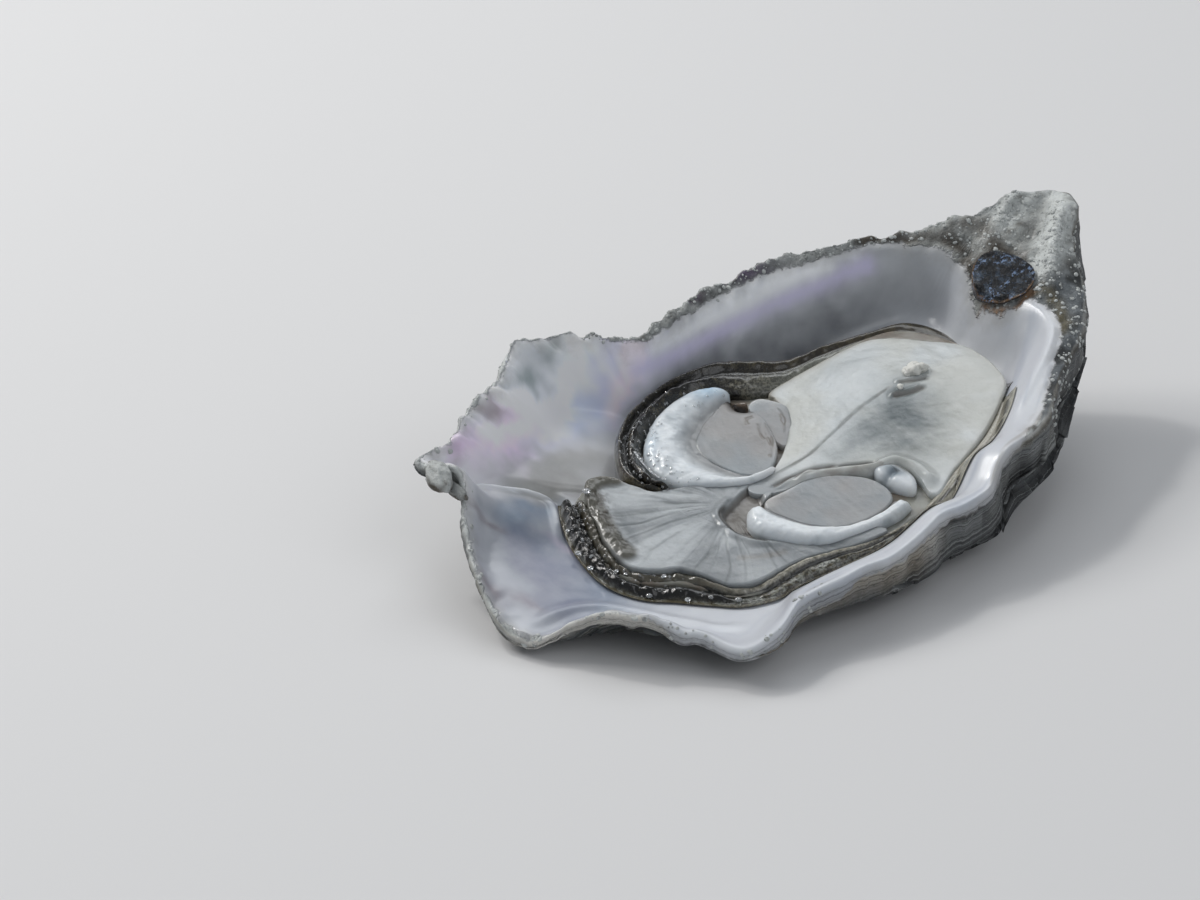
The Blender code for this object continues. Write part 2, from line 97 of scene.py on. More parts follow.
# a colour laid over another, by a share for each point
def painted(under, over, share):
    return mixed(under, over, share[..., None])


def bell(u):
    return np.exp(-u ** 2)


# 1 along a line and 0 at both of its ends: how steeply it rises and falls
def faded(along, first, last):
    return smooth(along * first) * smooth((1 - along) * last)


# smooth random values between -1 and 1, about one bump per unit of distance
def bumps(points, seed):
    points = np.asarray(points, float)
    cell = np.floor(points).astype(np.int64)
    u = smooth(points - cell)
    total = 0.0
    for corner in range(8):
        step = np.array([corner & 1, corner >> 1 & 1, corner >> 2 & 1])
        x, y, z = np.moveaxis(cell + step, -1, 0)
        mix = x * 73856093 ^ y * 19349663 ^ z * 83492791 ^ seed * 39916801
        mix = (mix ^ mix >> 13) * 1274126177
        value = ((mix ^ mix >> 16) & 0xFFFF) / 32767.5 - 1
        total = total + value * np.prod(np.where(step == 1, u, 1 - u), axis=-1)
    return total


# several sizes of bumps together, the first `size` mm wide and each next half as wide
def rough(points, size, seed, octaves=3, keep=0.5):
    total, strength = 0.0, 1.0
    for octave in range(octaves):
        total = total + strength * bumps(points / size * 2 ** octave, seed + octave)
        strength *= keep
    return total


def at(*parts):
    return np.stack(np.broadcast_arrays(*parts), -1).astype(float)


def flat(x, y):
    return at(x, y, 0 * x)


def upright(height):
    return at(0 * height, 0 * height, height)


def plan(grid):
    return grid[..., 0], grid[..., 1]


# the unit vectors of the bearings, as a row of x and a row of y
def rays(bearing):
    turn = np.radians(bearing)
    return np.array([np.cos(turn), np.sin(turn)])


# the nearest place on a smooth line through the stops: how far, how far along it, and on which side
def meetLine(x, y, stops):
    line = curve(stops, 60, False)
    away, along, side = np.full(x.shape, 1e9), np.zeros(x.shape), np.zeros(x.shape)
    for k, (start, run) in enumerate(zip(line, np.diff(line, axis=0))):
        dx, dy = x - start[0], y - start[1]
        share = np.clip((dx * run[0] + dy * run[1]) / (run @ run), 0, 1)
        here = np.hypot(dx - run[0] * share, dy - run[1] * share)
        nearer = here < away
        away = np.where(nearer, here, away)
        along = np.where(nearer, (k + share) / 59, along)
        side = np.where(nearer, (dx * run[1] - dy * run[0]) / np.hypot(*run), side)
    return away, along, side


def nearLine(x, y, stops):
    return meetLine(x, y, stops)[:2]


# which side of the line the points lie on: negative on its left
def sideOf(x, y, stops):
    return meetLine(x, y, stops)[2]


# the bearings as places on a ring about as long as the rim, for patterns that run round it
def ringed(bearing):
    return 36 * at(*rays(bearing), 0 * bearing)


# a soft oval spot: 1 in its middle, fading to 0
def spot(x, y, place, reach, turn=0.0):
    turn = math.radians(turn)
    dx, dy = x - place[0], y - place[1]
    along = (dx * math.cos(turn) + dy * math.sin(turn)) / reach[0]
    across = (dy * math.cos(turn) - dx * math.sin(turn)) / reach[1]
    return np.exp(-(along ** 2 + across ** 2))


# a Catmull-Rom curve through the points, as `count` points evenly spread along it
def curve(points, count, closed):
    points = np.asarray(points, float)
    ends = (points[-1:], points[:2]) if closed else (points[:1], points[-1:])
    held = np.concatenate([ends[0], points, ends[1]])
    spans = len(held) - 3
    where = np.linspace(0, spans, 12 * spans + 1)
    i = np.minimum(where.astype(int), spans - 1)
    u = (where - i)[:, None]
    a, b, c, d = held[i], held[i + 1], held[i + 2], held[i + 3]
    dense = b + 0.5 * u * (c - a + u * (2 * a - 5 * b + 4 * c - d + u * (3 * (b - c) + d - a)))
    travel = np.concatenate([[0], np.cumsum(np.linalg.norm(np.diff(dense[:, :2], axis=0), axis=1))])
    stops = np.linspace(0, travel[-1], count + 1)[:-1] if closed else np.linspace(0, travel[-1], count)
    return np.stack([np.interp(stops, travel, column) for column in dense.T], 1)


# unit normals of a grid of points whose columns go round
def gridNormals(grid):
    around = np.roll(grid, -1, axis=1) - np.roll(grid, 1, axis=1)
    normal = np.cross(around, np.gradient(grid, axis=0))
    return normal / np.maximum(np.linalg.norm(normal, axis=-1, keepdims=True), 1e-9)


# the quads and end triangles of a mesh, turned to face outwards
def facingOut(points, quads, fans):
    triangles = np.concatenate([fans, quads[:, (0, 1, 2)], quads[:, (0, 2, 3)]])
    a, b, c = (points[corner] for corner in triangles.T)
    if np.einsum("ij,ij->", a, np.cross(b, c)) < 0:
        return quads[:, ::-1], fans[:, ::-1]
    return quads, fans


# a new object in the scene
def placed(name, data, matrix=None):
    made = bpy.data.objects.new(name, data)
    if matrix:
        made.matrix_world = matrix
    bpy.context.scene.collection.objects.link(made)
    return made


# rows and columns of numbers or colours, as an attribute of the points that were lofted from them
def addAttribute(mesh, label, values, shape):
    if np.ndim(values) < 3:
        values = np.broadcast_to(values, shape)[..., None]
    ends = [values[0].mean(0)[None], values[-1].mean(0)[None]]
    values = np.concatenate([values.reshape(-1, values.shape[-1]), *ends])
    if values.shape[1] == 3:
        values = np.concatenate([values, np.ones((len(values), 1))], 1)
        mesh.attributes.new(label, "FLOAT_COLOR", "POINT").data.foreach_set("color", values.ravel())
    else:
        mesh.attributes.new(label, "FLOAT", "POINT").data.foreach_set("value", values.ravel())


# a closed mesh lofted through rows of points, with a fan at each end
def lofted(name, grid, finish, attributes):
    rows, columns = grid.shape[:2]
    points = np.concatenate([grid.reshape(-1, 3), grid[:1].mean(1), grid[-1:].mean(1)])
    k = np.arange(columns)
    j = (k + 1) % columns
    quads = [np.stack([r * columns + k, r * columns + j, (r + 1) * columns + j, (r + 1) * columns + k], 1)
             for r in range(rows - 1)]
    last = (rows - 1) * columns
    fans = [np.stack([np.full(columns, last + columns), j, k], 1),
            np.stack([np.full(columns, last + columns + 1), last + k, last + j], 1)]
    quads, fans = facingOut(points, np.concatenate(quads), np.concatenate(fans))
    mesh = bpy.data.meshes.new(name)
    mesh.vertices.add(len(points))
    mesh.vertices.foreach_set("co", toRow(points).ravel())
    corners = np.concatenate([quads.ravel(), fans.ravel()])
    starts = np.concatenate([np.arange(len(quads)) * 4, len(quads) * 4 + np.arange(len(fans)) * 3])
    mesh.loops.add(len(corners))
    mesh.loops.foreach_set("vertex_index", corners)
    mesh.polygons.add(len(starts))
    mesh.polygons.foreach_set("loop_start", starts)
    mesh.update(calc_edges=True)
    mesh.validate()
    mesh.shade_smooth()
    for label, values in attributes.items():
        addAttribute(mesh, label, values, grid.shape[:2])
    mesh.materials.append(finish)
    return placed(name, mesh)


# an 8-bit screen colour as the linear one that shaders use
def screen(red, green, blue):
    value = np.array([red, green, blue]) / 255
    return np.where(value <= 0.04045, value / 12.92, ((value + 0.055) / 1.055) ** 2.4)


# one socket of a node, so that sums on it can be written as they are read
class Value:
    def __init__(self, owner, socket):
        self.owner = owner
        self.socket = socket

    def maths(self, operation, *values):
        return self.owner.node("ShaderNodeMath", {"operation": operation}, list(values))

    def __add__(self, other):
        return self.maths("ADD", self, other)

    def __radd__(self, other):
        return self.maths("ADD", other, self)

    def __sub__(self, other):
        return self.maths("SUBTRACT", self, other)

    def __rsub__(self, other):
        return self.maths("SUBTRACT", other, self)

    def __mul__(self, other):
        return self.maths("MULTIPLY", self, other)

    def __rmul__(self, other):
        return self.maths("MULTIPLY", other, self)

    def __pow__(self, other):
        return self.maths("POWER", self, other)


# a node tree, and the one method that adds a node to it
class Tree:
    def node(self, kind, settings, inputs, output=0):
        made = self.tree.nodes.new(kind)
        for key, value in settings.items():
            setattr(made, key, value)
        pairs = inputs.items() if isinstance(inputs, dict) else enumerate(inputs)
        for key, value in pairs:
            self.feed(made.inputs[key], value)
        return Value(self, made.outputs[output])

    def feed(self, socket, value):
        if isinstance(value, Value):
            self.tree.links.new(value.socket, socket)
        elif np.ndim(value) and len(value) == 3 and socket.type == "RGBA":
            socket.default_value = (*value, 1)
        else:
            socket.default_value = value


# a material round a Principled shader
class Finish(Tree):
    def __init__(self, name, **settings):
        self.material = bpy.data.materials.new(name)
        self.material.use_nodes = True
        self.tree = self.material.node_tree
        self.shader = self.tree.nodes["Principled BSDF"]
        self.set(**settings)

    def set(self, **settings):
        for key, value in settings.items():
            self.feed(self.shader.inputs[key.replace("_", " ")], value)

    def place(self):
        return self.node("ShaderNodeTexCoord", {}, {}, "Object")

    def attribute(self, name, output="Fac"):
        return self.node("ShaderNodeAttribute", {"attribute_name": name}, {}, output)

    # noise with features about `size` mm wide, from 0 to 1
    def noise(self, size, detail, roughness):
        return self.node("ShaderNodeTexNoise", {}, {"Vector": self.place(), "Scale": 1 / (size * mm),
                                                    "Detail": detail, "Roughness": roughness})

    def cells(self, size):
        return self.node("ShaderNodeTexVoronoi", {}, {"Vector": self.place(), "Scale": 1 / (size * mm)})

    # the share of the way of a value between two limits
    def between(self, value, low, high):
        return self.node("ShaderNodeMapRange", {"interpolation_type": "SMOOTHSTEP"},
                         {"Value": value, "From Min": low, "From Max": high})

    def blend(self, share, one, two):
        settings = {"data_type": "RGBA", "clamp_factor": True}
        return self.node("ShaderNodeMix", settings, {0: share, 6: one, 7: two}, 2)

    def bump(self, height, distance):
        return self.node("ShaderNodeBump", {}, {"Height": height, "Distance": distance * mm})


# a Geometry Nodes tree with named inputs
class Growth(Tree):
    def __init__(self, name, sockets):
        self.tree = bpy.data.node_groups.new(name, "GeometryNodeTree")
        for label, kind in sockets.items():
            self.tree.interface.new_socket(name=label, in_out="INPUT", socket_type="NodeSocket" + kind)
        self.tree.interface.new_socket(name="Geometry", in_out="OUTPUT", socket_type="NodeSocketGeometry")
        self.entry = self.tree.nodes.new("NodeGroupInput")

    def given(self, label):
        return Value(self, self.entry.outputs[label])

    def random(self, low, high, seed):
        return self.node("FunctionNodeRandomValue", {"data_type": "FLOAT"}, {2: low, 3: high, 8: seed}, 1)

    # ends the tree: its instances made real, and their finish set
    def close(self, geometry):
        real = self.node("GeometryNodeRealizeInstances", {}, [geometry])
        done = self.node("GeometryNodeSetMaterial", {}, {"Geometry": real, "Material": self.given("Finish")})
        self.feed(self.tree.nodes.new("NodeGroupOutput").inputs["Geometry"], done)
        return self

    # what the tree grows from those inputs, as a plain mesh
    def grown(self, name, given):
        holder = placed(name, bpy.data.meshes.new(name))
        modifier = holder.modifiers.new("growth", "NODES")
        modifier.node_group = self.tree
        for item in self.tree.interface.items_tree:
            if item.in_out == "INPUT" and item.name in given:
                modifier[item.identifier] = given[item.name]
        shown = holder.evaluated_get(bpy.context.evaluated_depsgraph_get())
        mesh = bpy.data.meshes.new_from_object(shown)
        holder.modifiers.clear()
        holder.data = mesh
        return holder


valve = {
    "columns": 640,
    "wall": 1.3,                       # least thickness of the shell, in mm
    "thickest": 8.0,
    "cupDepth": 12.5,
    "cupCentre": (10.0, 1.0),          # the cup's deepest place
    "cupRise": (14.0, 8.5),            # how far its floor rises along X and along Y
    "cupSpread": (35.0, 18.5),         # and over what distance
    "bellyLift": 7.0,                  # how fast the underside leaves the floor below it
    "bellyReach": (50.0, 32.0),
    "bellyCentre": (10.0, -2.0),
    "bellyShare": 0.3,                 # the part of the underside, from the umbo on, that is all belly
    "flatSpot": 0.1,
    "umbo": (24.0, -7.0),
    "lipFall": 2.3,                    # how far the nacre falls over the width of the lip
    "shelfDrop": 0.4,
    "innermost": 0.16,
    # growth shelves: the share of the way out at which each ends, and how far it stands proud
    "shelves": ((0.52, 1.0), (0.68, 1.6), (0.81, 2.6), (0.905, 3.6), (0.965, 2.9)),
    # folds of the cup: start, end, height at both, and how far its flanks reach to the left and right
    "folds": (
        ((-36.0, 24.5), (-28.2, 10.8), 1.6, 1.2, 5.0, 1.8),
        ((38.4, -15.9), (52.0, -7.2), 1.0, 1.6, 2.4, 2.0),
        ((40.0, 3.5), (50.5, -3.0), 1.0, 1.2, 2.0, 2.4),
    ),
}

# round the rim: bearing, reach, height, lip, run of the wall, crust band, drop to the nacre,
# thickness of the edge, steepness outside
reach, height, lip, run, band, drop, edge, steep = range(1, 9)
rimStations = (
    (0.0, 46.6, 1.5, 1.0, 7.0, 7.0, 2.4, 3.0, 1.7),
    (10.5, 39.5, 0.6, 2.5, 9.0, 1.6, 1.3, 2.5, 3.0),
    (28.0, 32.2, 0.4, 3.0, 12.0, 1.9, 1.2, 2.5, 3.0),
    (55.0, 24.9, 0.4, 2.6, 10.0, 1.9, 1.2, 2.5, 3.0),
    (80.0, 21.9, 0.7, 1.6, 7.0, 1.6, 0.9, 2.2, 2.6),
    (88.0, 21.9, 0.6, 1.8, 8.0, 1.0, 0.5, 1.8, 2.2),
    (98.0, 26.2, 2.0, 2.5, 14.0, 0.8, 0.4, 1.5, 1.8),
    (111.0, 33.3, 2.6, 3.0, 18.0, 0.7, 0.3, 1.3, 1.6),
    (121.0, 33.4, 2.4, 3.0, 18.0, 0.7, 0.3, 1.3, 1.6),
    (133.0, 37.0, 3.0, 3.0, 18.0, 0.6, 0.2, 1.3, 1.6),
    (141.0, 39.8, 3.5, 3.0, 16.0, 0.6, 0.2, 1.3, 1.6),
    (144.5, 44.7, 4.1, 3.0, 14.0, 0.8, 0.2, 1.4, 1.6),
    (150.0, 40.6, 2.6, 2.5, 10.0, 0.6, 0.2, 1.3, 1.5),
    (165.0, 44.4, -0.5, 2.0, 10.0, 0.6, 0.2, 1.3, 1.5),
    (178.5, 46.9, -3.0, 2.0, 8.0, 0.6, 0.1, 1.3, 1.5),
    (184.0, 43.6, -0.4, 2.5, 8.0, 0.6, 0.1, 1.3, 1.6),
    (190.0, 41.4, 2.0, 2.5, 9.0, 0.6, 0.1, 1.6, 1.6),
    (203.0, 40.4, 0.6, 3.0, 10.0, 0.6, 0.1, 1.8, 1.8),
    (210.5, 41.7, 0.4, 4.0, 11.0, 0.7, 0.1, 1.8, 2.0),
    (216.0, 39.2, 0.9, 4.5, 10.0, 0.8, 0.1, 2.6, 2.5),
    (221.0, 34.4, 1.0, 4.5, 8.0, 0.8, 0.1, 3.2, 3.2),
    (232.0, 31.3, 0.9, 4.5, 7.0, 0.8, 0.1, 4.0, 4.5),
    (252.0, 28.6, 0.0, 4.2, 7.0, 0.8, 0.1, 5.8, 6.5),
    (266.0, 27.3, 0.0, 4.0, 7.0, 0.8, 0.1, 6.4, 7.0),
    (280.0, 29.3, -0.4, 4.5, 7.0, 0.8, 0.1, 6.4, 7.0),
    (291.0, 29.5, 1.2, 5.0, 7.5, 0.8, 0.1, 6.4, 7.0),
    (303.0, 32.6, 0.1, 5.0, 8.0, 1.5, 0.1, 6.0, 5.0),
    (320.0, 37.2, -0.3, 4.5, 8.0, 2.5, -0.4, 5.2, 3.5),
    (334.0, 44.8, -0.5, 3.5, 7.0, 5.0, -0.6, 4.0, 3.0),
    (345.0, 51.2, 2.2, 1.5, 7.0, 13.6, 3.2, 3.4, 1.7),
    (350.5, 54.8, 4.6, 1.0, 7.0, 17.6, 5.9, 3.0, 1.4),
    (356.0, 52.0, 3.8, 1.0, 7.0, 13.4, 5.0, 3.0, 1.4),
)


# a smooth closed curve through the values, level wherever they turn
def through(knots, values, query, period):
    knots, values = np.asarray(knots, float), np.asarray(values, float)
    knots = np.concatenate([knots[-2:] - period, knots, knots[:3] + period])
    values = np.concatenate([values[-2:], values, values[:3]])
    query = np.mod(query, period)
    step = np.diff(knots)
    slope = np.diff(values) / step
    before, after = slope[:-1], slope[1:]
    climbs = before * after > 0
    tangent = np.where(climbs, 2 * before * after / np.where(climbs, before + after, 1), 0)
    tangent = np.concatenate([[0], tangent, [0]])
    i = np.clip(np.searchsorted(knots, query, side="right") - 1, 0, len(step) - 1)
    u = (query - knots[i]) / step[i]
    bend = tangent[i] * u * (1 - u) ** 2 - tangent[i + 1] * u * u * (1 - u)
    return values[i] + (values[i + 1] - values[i]) * smooth(u) + step[i] * bend


# fine unevenness of the outline: how it wobbles in and out, and up and down
rimWobble = {
    "beads": (0.45, 1.5),              # on the crusted back edge: how far, and about how wide (mm)
    "frills": (0.4, 2.6),              # on the thin left edge
    "waves": (0.5, 5.0),               # everywhere
}


# 1 between two bearings and 0 elsewhere, with soft ends
def shareBetween(bearing, start, end, soft=6.0):
    centre, half = (start + end) / 2, (end - start) / 2
    away = np.abs((bearing - centre + 180) % 360 - 180)
    return smooth((half - away) / soft + 0.5)


# one column of the rim's table at any bearing
def rim(bearing, column):
    return through([s[0] for s in rimStations], [s[column] for s in rimStations], bearing, 360.0)


# how far the outline wobbles at each bearing: outwards and upwards
def wobble(bearing):
    place = ringed(bearing)
    crusted = shareBetween(bearing, -8, 92)
    thin = shareBetween(bearing, 92, 205)
    outwards, upwards = -0.4 - 1.1 * shareBetween(bearing, 341, 349, 6), 0.0
    for (far, wide), where, seed in ((rimWobble["beads"], crusted, 1), (rimWobble["frills"], thin, 2),
                                     (rimWobble["waves"], 1.0, 3)):
        outwards = outwards + far * where * bumps(place / wide, seed)
        upwards = upwards + 0.7 * far * where * bumps(place / wide, seed + 7)
    return outwards, upwards


# the height that the folds add inside the valve
def folds(x, y):
    total = np.zeros_like(x)
    for start, end, high, low, left, right in valve["folds"]:
        way = np.subtract(end, start)
        length = np.hypot(*way)
        along = ((x - start[0]) * way[0] + (y - start[1]) * way[1]) / length ** 2
        across = ((y - start[1]) * way[0] - (x - start[0]) * way[1]) / length
        fade = smooth(1.3 - np.abs(2 * along - 1))
        flank = np.exp(-np.abs(across) / np.where(across > 0, left, right))
        total += (high + (low - high) * np.clip(along, 0, 1)) * flank * fade
    return total


# height of the upper surface: the nacre, and the crust band round it
def inside(x, y):
    bearing, radius = np.degrees(np.arctan2(y, x)), np.hypot(x, y)
    pearl = rim(bearing, height) - rim(bearing, drop)
    inward = rim(bearing, reach) - rim(bearing, band) - radius
    floor = -valve["cupDepth"]
    for here, centre, rise, spread in zip((x, y), valve["cupCentre"], valve["cupRise"], valve["cupSpread"]):
        floor = floor + rise * (1 - np.exp(-((here - centre) / spread) ** 2 / 2))
    fallen = pearl - valve["lipFall"] * np.clip(inward / rim(bearing, lip), 0, 3) ** 1.4
    wall = smooth(1 - (inward - 0.5 * rim(bearing, lip)) / rim(bearing, run))
    cup = floor + (np.maximum(fallen, floor) - floor) * wall
    crust = pearl + rim(bearing, drop) * np.clip(-inward / rim(bearing, band), 0, 1)
    return np.where(inward > 0, cup, crust) + folds(x, y)


# height of the underside, `out` of the way from the umbo to the outline
def outside(x, y, bearing, out):
    top = rim(bearing, height) - rim(bearing, edge)
    ahead, lean = math.radians(stand["levelBearing"] + 90), math.radians(stand["lean"])
    uphill = x * math.cos(ahead) + y * math.sin(ahead)
    belly = -(stand["origin"][2] + valve["flatSpot"] + uphill * math.sin(lean)) / math.cos(lean)
    for here, centre, far in zip((x, y), valve["bellyCentre"], valve["bellyReach"]):
        belly = belly + valve["bellyLift"] * np.abs((here - centre) / far) ** 3
    near = max(0.0, (out - valve["bellyShare"]) / (1 - valve["bellyShare"])) ** rim(bearing, steep)
    above = inside(x, y)
    return np.clip(top * near + belly * (1 - near), above - valve["thickest"], above - valve["wall"])


# how far the outside stands proud at each `out`: every shelf swells to its edge, then stops
def shelf(out):
    proud, start = np.zeros_like(out), 0.0
    for end, most in valve["shelves"]:
        here = (out >= start) & (out < end)
        proud = np.where(here, most * (np.clip((out - start) / (end - start), 0, 1)) ** 2, proud)
        start = end
    return proud


# bearings that share the rim's length out evenly
def evenBearings(count):
    fine = np.linspace(0, 360, 2881)
    x, y = rim(fine, reach) * rays(fine)
    travel = np.concatenate([[0], np.cumsum(np.hypot(np.diff(x), np.diff(y)))])
    return np.interp(np.arange(count) / count * travel[-1], travel, fine)


# the two rails of each mantle frill, outer point then inner point, from its left end on
backFrill = (
    ((-15.4, 4.6), (-14.2, 3.8)), ((-16.3, 8.4), (-13.9, 6.4)), ((-14.8, 11.5), (-12.6, 9.2)),
    ((-10.6, 15.0), (-9.6, 11.9)), ((-5.8, 16.7), (-5.0, 13.4)), ((-0.6, 17.2), (-0.7, 13.5)),
    ((4.8, 16.3), (2.9, 12.5)), ((10.0, 14.3), (5.4, 10.2)), ((13.2, 10.6), (7.4, 7.4)),
    ((16.2, 8.0), (10.0, 5.2)), ((21.9, 6.0), (15.8, 3.9)), ((27.5, 3.4), (21.6, 2.2)),
    ((32.0, 1.0), (25.0, -0.6)), ((33.2, -3.5), (27.0, -4.6)), ((31.6, -8.2), (28.8, -8.4)),
    ((30.4, -11.6), (28.6, -11.4)), ((28.8, -14.8), (27.6, -14.2)), ((26.6, -17.6), (25.8, -16.9)),
)
frontFrill = (
    ((-24.0, 13.4), (-21.6, 11.6)), ((-26.4, 11.0), (-22.8, 9.6)), ((-28.6, 8.2), (-24.4, 7.2)),
    ((-30.2, 5.2), (-26.1, 4.8)), ((-31.4, 2.0), (-27.4, 2.0)), ((-31.7, -1.2), (-27.8, -0.6)),
    ((-31.0, -4.6), (-26.6, -2.8)), ((-29.2, -7.6), (-24.8, -5.0)), ((-27.6, -11.3), (-24.0, -8.0)),
    ((-26.1, -14.4), (-23.6, -11.2)), ((-23.3, -16.4), (-21.6, -13.2)),
    ((-20.3, -17.4), (-18.4, -14.2)), ((-17.2, -18.2), (-15.6, -15.0)),
    ((-13.9, -19.4), (-12.8, -16.6)), ((-10.4, -21.2), (-9.6, -19.0)), ((-6.5, -22.5), (-6.1, -20.7)),
    ((-2.0, -23.4), (-2.0, -21.8)), ((2.6, -23.6), (2.4, -21.8)), ((8.0, -22.9), (7.6, -21.1)),
    ((14.3, -22.4), (13.6, -20.6)), ((19.5, -21.4), (18.6, -19.6)), ((23.9, -19.6), (23.0, -18.2)),
)
backBand = (
    ((5.0, 9.3), (3.7, 8.2)), ((2.4, 11.8), (0.9, 8.5)), ((-0.9, 13.0), (-1.4, 8.3)),
    ((-5.0, 12.9), (-4.5, 7.5)), ((-9.4, 11.3), (-6.5, 6.1)), ((-12.2, 8.8), (-7.4, 4.1)),
    ((-13.3, 5.8), (-7.6, 1.4)), ((-12.6, 2.3), (-7.2, -0.8)), ((-10.6, -0.6), (-6.4, -2.4)),
    ((-8.0, -2.8), (-4.6, -3.2)), ((-4.8, -3.9), (-3.3, -3.5)),
)
frontBand = (
    ((-12.4, -5.9), (-11.4, -6.9)), ((-14.2, -7.2), (-11.4, -8.0)), ((-14.9, -9.2), (-11.2, -9.6)),
    ((-14.2, -11.7), (-10.8, -12.1)), ((-13.0, -14.2), (-9.7, -14.7)), ((-11.3, -16.5), (-8.0, -16.8)),
    ((-8.6, -18.3), (-5.7, -18.2)), ((-5.6, -19.7), (-3.3, -18.8)), ((-2.6, -20.5), (-1.6, -18.9)),
    ((-0.2, -20.4), (-0.4, -19.0)),
)
# outlines of the pieces between the frills
outlines = {
    "bodyLeft": (
        (9.6, 5.4), (7.8, 4.4), (6.6, 2.2), (3.9, -0.3), (1.0, -2.1), (-2.6, -3.5), (-6.0, -3.9),
        (-8.4, -3.3), (-9.0, -4.4), (-7.6, -5.9), (-4.4, -7.7), (-2.2, -9.4), (-0.2, -11.4), (1.2, -13.2),
        (2.8, -14.4), (4.4, -15.4), (4.6, -17.2), (4.0, -19.4), (3.0, -21.8),
    ),
    "fanRight": (
        (-6.6, -19.6), (-9.6, -17.4), (-12.2, -14.0), (-13.2, -11.0), (-13.4, -8.6), (-12.4, -6.6),
        (-10.2, -5.7), (-7.6, -5.6), (-6.6, -4.5), (-8.7, -2.3), (-11.2, 0.4), (-13.0, 2.6),
        (-15.0, 4.4), (-16.4, 5.6), (-16.9, 8.7), (-17.5, 11.2), (-19.3, 12.6),
    ),
    "backDisc": (
        (3.2, 8.2), (4.6, 7.0), (3.2, 5.2), (2.8, 3.2), (1.4, 0.9), (-0.4, -1.1), (-2.8, -2.4),
        (-5.2, -2.6), (-6.6, -1.0), (-7.0, 1.6), (-6.8, 4.4), (-5.5, 6.5), (-2.6, 7.7), (0.4, 8.0),
    ),
    "backFlap": ((3.7, 5.0), (4.5, 5.6), (5.6, 5.3), (6.2, 4.0), (6.4, 2.3), (5.2, 0.9), (3.7, -0.4),
                 (1.2, -1.8), (1.0, -0.8), (2.1, 1.4), (3.0, 3.6)),
    "frontDisc": (
        (-10.0, -6.9), (-7.5, -7.6), (-4.4, -8.5), (-2.0, -10.2), (-0.5, -12.2), (0.3, -14.3),
        (0.2, -16.4), (-0.9, -17.9), (-3.2, -18.1), (-6.2, -17.3), (-8.7, -15.5), (-10.3, -12.6),
        (-10.8, -9.8), (-10.9, -8.0),
    ),
    "frontNub": ((2.2, -13.7), (3.9, -15.0), (4.2, -16.8), (3.4, -18.6), (1.9, -19.4), (1.2, -17.6),
                 (1.2, -15.4)),
    "ligament": ((38.4, -4.4), (39.8, -4.1), (41.2, -4.8), (41.6, -6.6), (41.6, -8.8), (41.0, -10.8),
                 (39.4, -11.8), (37.4, -11.6), (36.1, -10.4), (36.0, -8.2), (36.5, -5.8)),
}
flesh = {
    "bed": 0.1,                        # how far the meat's underside lies above the nacre
    "thinnest": 0.3,
    "undulation": (0.12, 5.0),         # slow rise and fall everywhere: how far, and about how wide
    "wrinkle": (0.03, 1.3),
    "plump": ((17.0, -8.0), (11.0, 9.0), 1.3),
    "milky": screen(232, 234, 232),
    "shadow": screen(84, 88, 88),
    "speck": screen(9, 9, 8),
    "fleck": screen(120, 116, 100),
}


# how far a top edge has rolled down, `inward` mm from the outline, with a roll of that radius
def rolled(inward, radius):
    reached = np.clip(inward / radius, 0, 1)
    return radius * (1 - np.sqrt(np.maximum(0, 1 - (1 - reached) ** 2)))


# the slow rise and fall of all flesh, and its wrinkles
def fleshy(x, y):
    place = flat(x, y)
    far, wide = flesh["undulation"]
    fine, small = flesh["wrinkle"]
    return far * bumps(place / wide, 210) + fine * rough(place, small, 220)


# the soft surface that body, neck and gills share
def fleshLevel(x, y):
    centre, far, high = flesh["plump"]
    level = -4.3 - 0.075 * (y + 9) - 0.015 * (x - 8) + high * spot(x, y, centre, far)
    return mixed(-4.0 - 0.02 * (y + 1), level, smooth((x + 13) / 9)) + fleshy(x, y)


# the share of a groove along a line, which fades at both of its ends
def groove(x, y, stops, half):
    away, along = nearLine(x, y, stops)
    return bell(away / half) * faded(along, 7, 7)


# lay a colour over a tint along lines: each is colour, half width, strength, stops
def drawn(tint, x, y, lines, wobbly=0.0):
    for colour, half, strength, stops in lines:
        away, along = nearLine(x, y, stops)
        away = np.abs(away + wobbly * rough(flat(x, y), 1.4, 215))
        share = strength * bell(away / half) * faded(along, 9, 9)
        tint = painted(tint, colour, share)
    return tint


def spotted(tint, x, y, colour, spots, blot=1.0):
    cover = sum(strength * spot(x, y, place, far, turn) for place, far, turn, strength in spots)
    return painted(tint, colour, np.clip(cover * blot, 0, 1))


# a piece inside an outline as rows of points: over its top from the middle out, and back below.
# `roll` is the radius of its edge, and `grow` how far it reaches past the outline.
def patchGrid(outline, top, roll, grow, columns, rows):
    border = curve(outline, columns, True)
    along = np.roll(border, -1, 0) - np.roll(border, 1, 0)
    out = np.stack([along[:, 1], -along[:, 0]], 1) / np.linalg.norm(along, axis=1)[:, None]
    centre = border.mean(0)
    out *= np.sign(np.sum(out * (border - centre), axis=1).sum())
    border = border + out * grow
    span = np.linalg.norm(border - centre, axis=1)
    radius = roll(*border.T) if callable(roll) else roll
    grid = []
    for part in 1 - (1 - np.linspace(0.03, 1, rows)) ** 1.5:
        x, y = (centre + (border - centre) * part).T
        z = top(x, y) - rolled(span * (1 - part), radius)
        grid.append(at(x, y, np.maximum(z, inside(x, y) + flesh["bed"] + flesh["thinnest"])))
    for part in (1.0, 0.96, 0.6, 0.2):
        x, y = (centre + (border - centre) * part).T
        grid.append(at(x, y, inside(x, y) + flesh["bed"]))
    return np.array(grid)


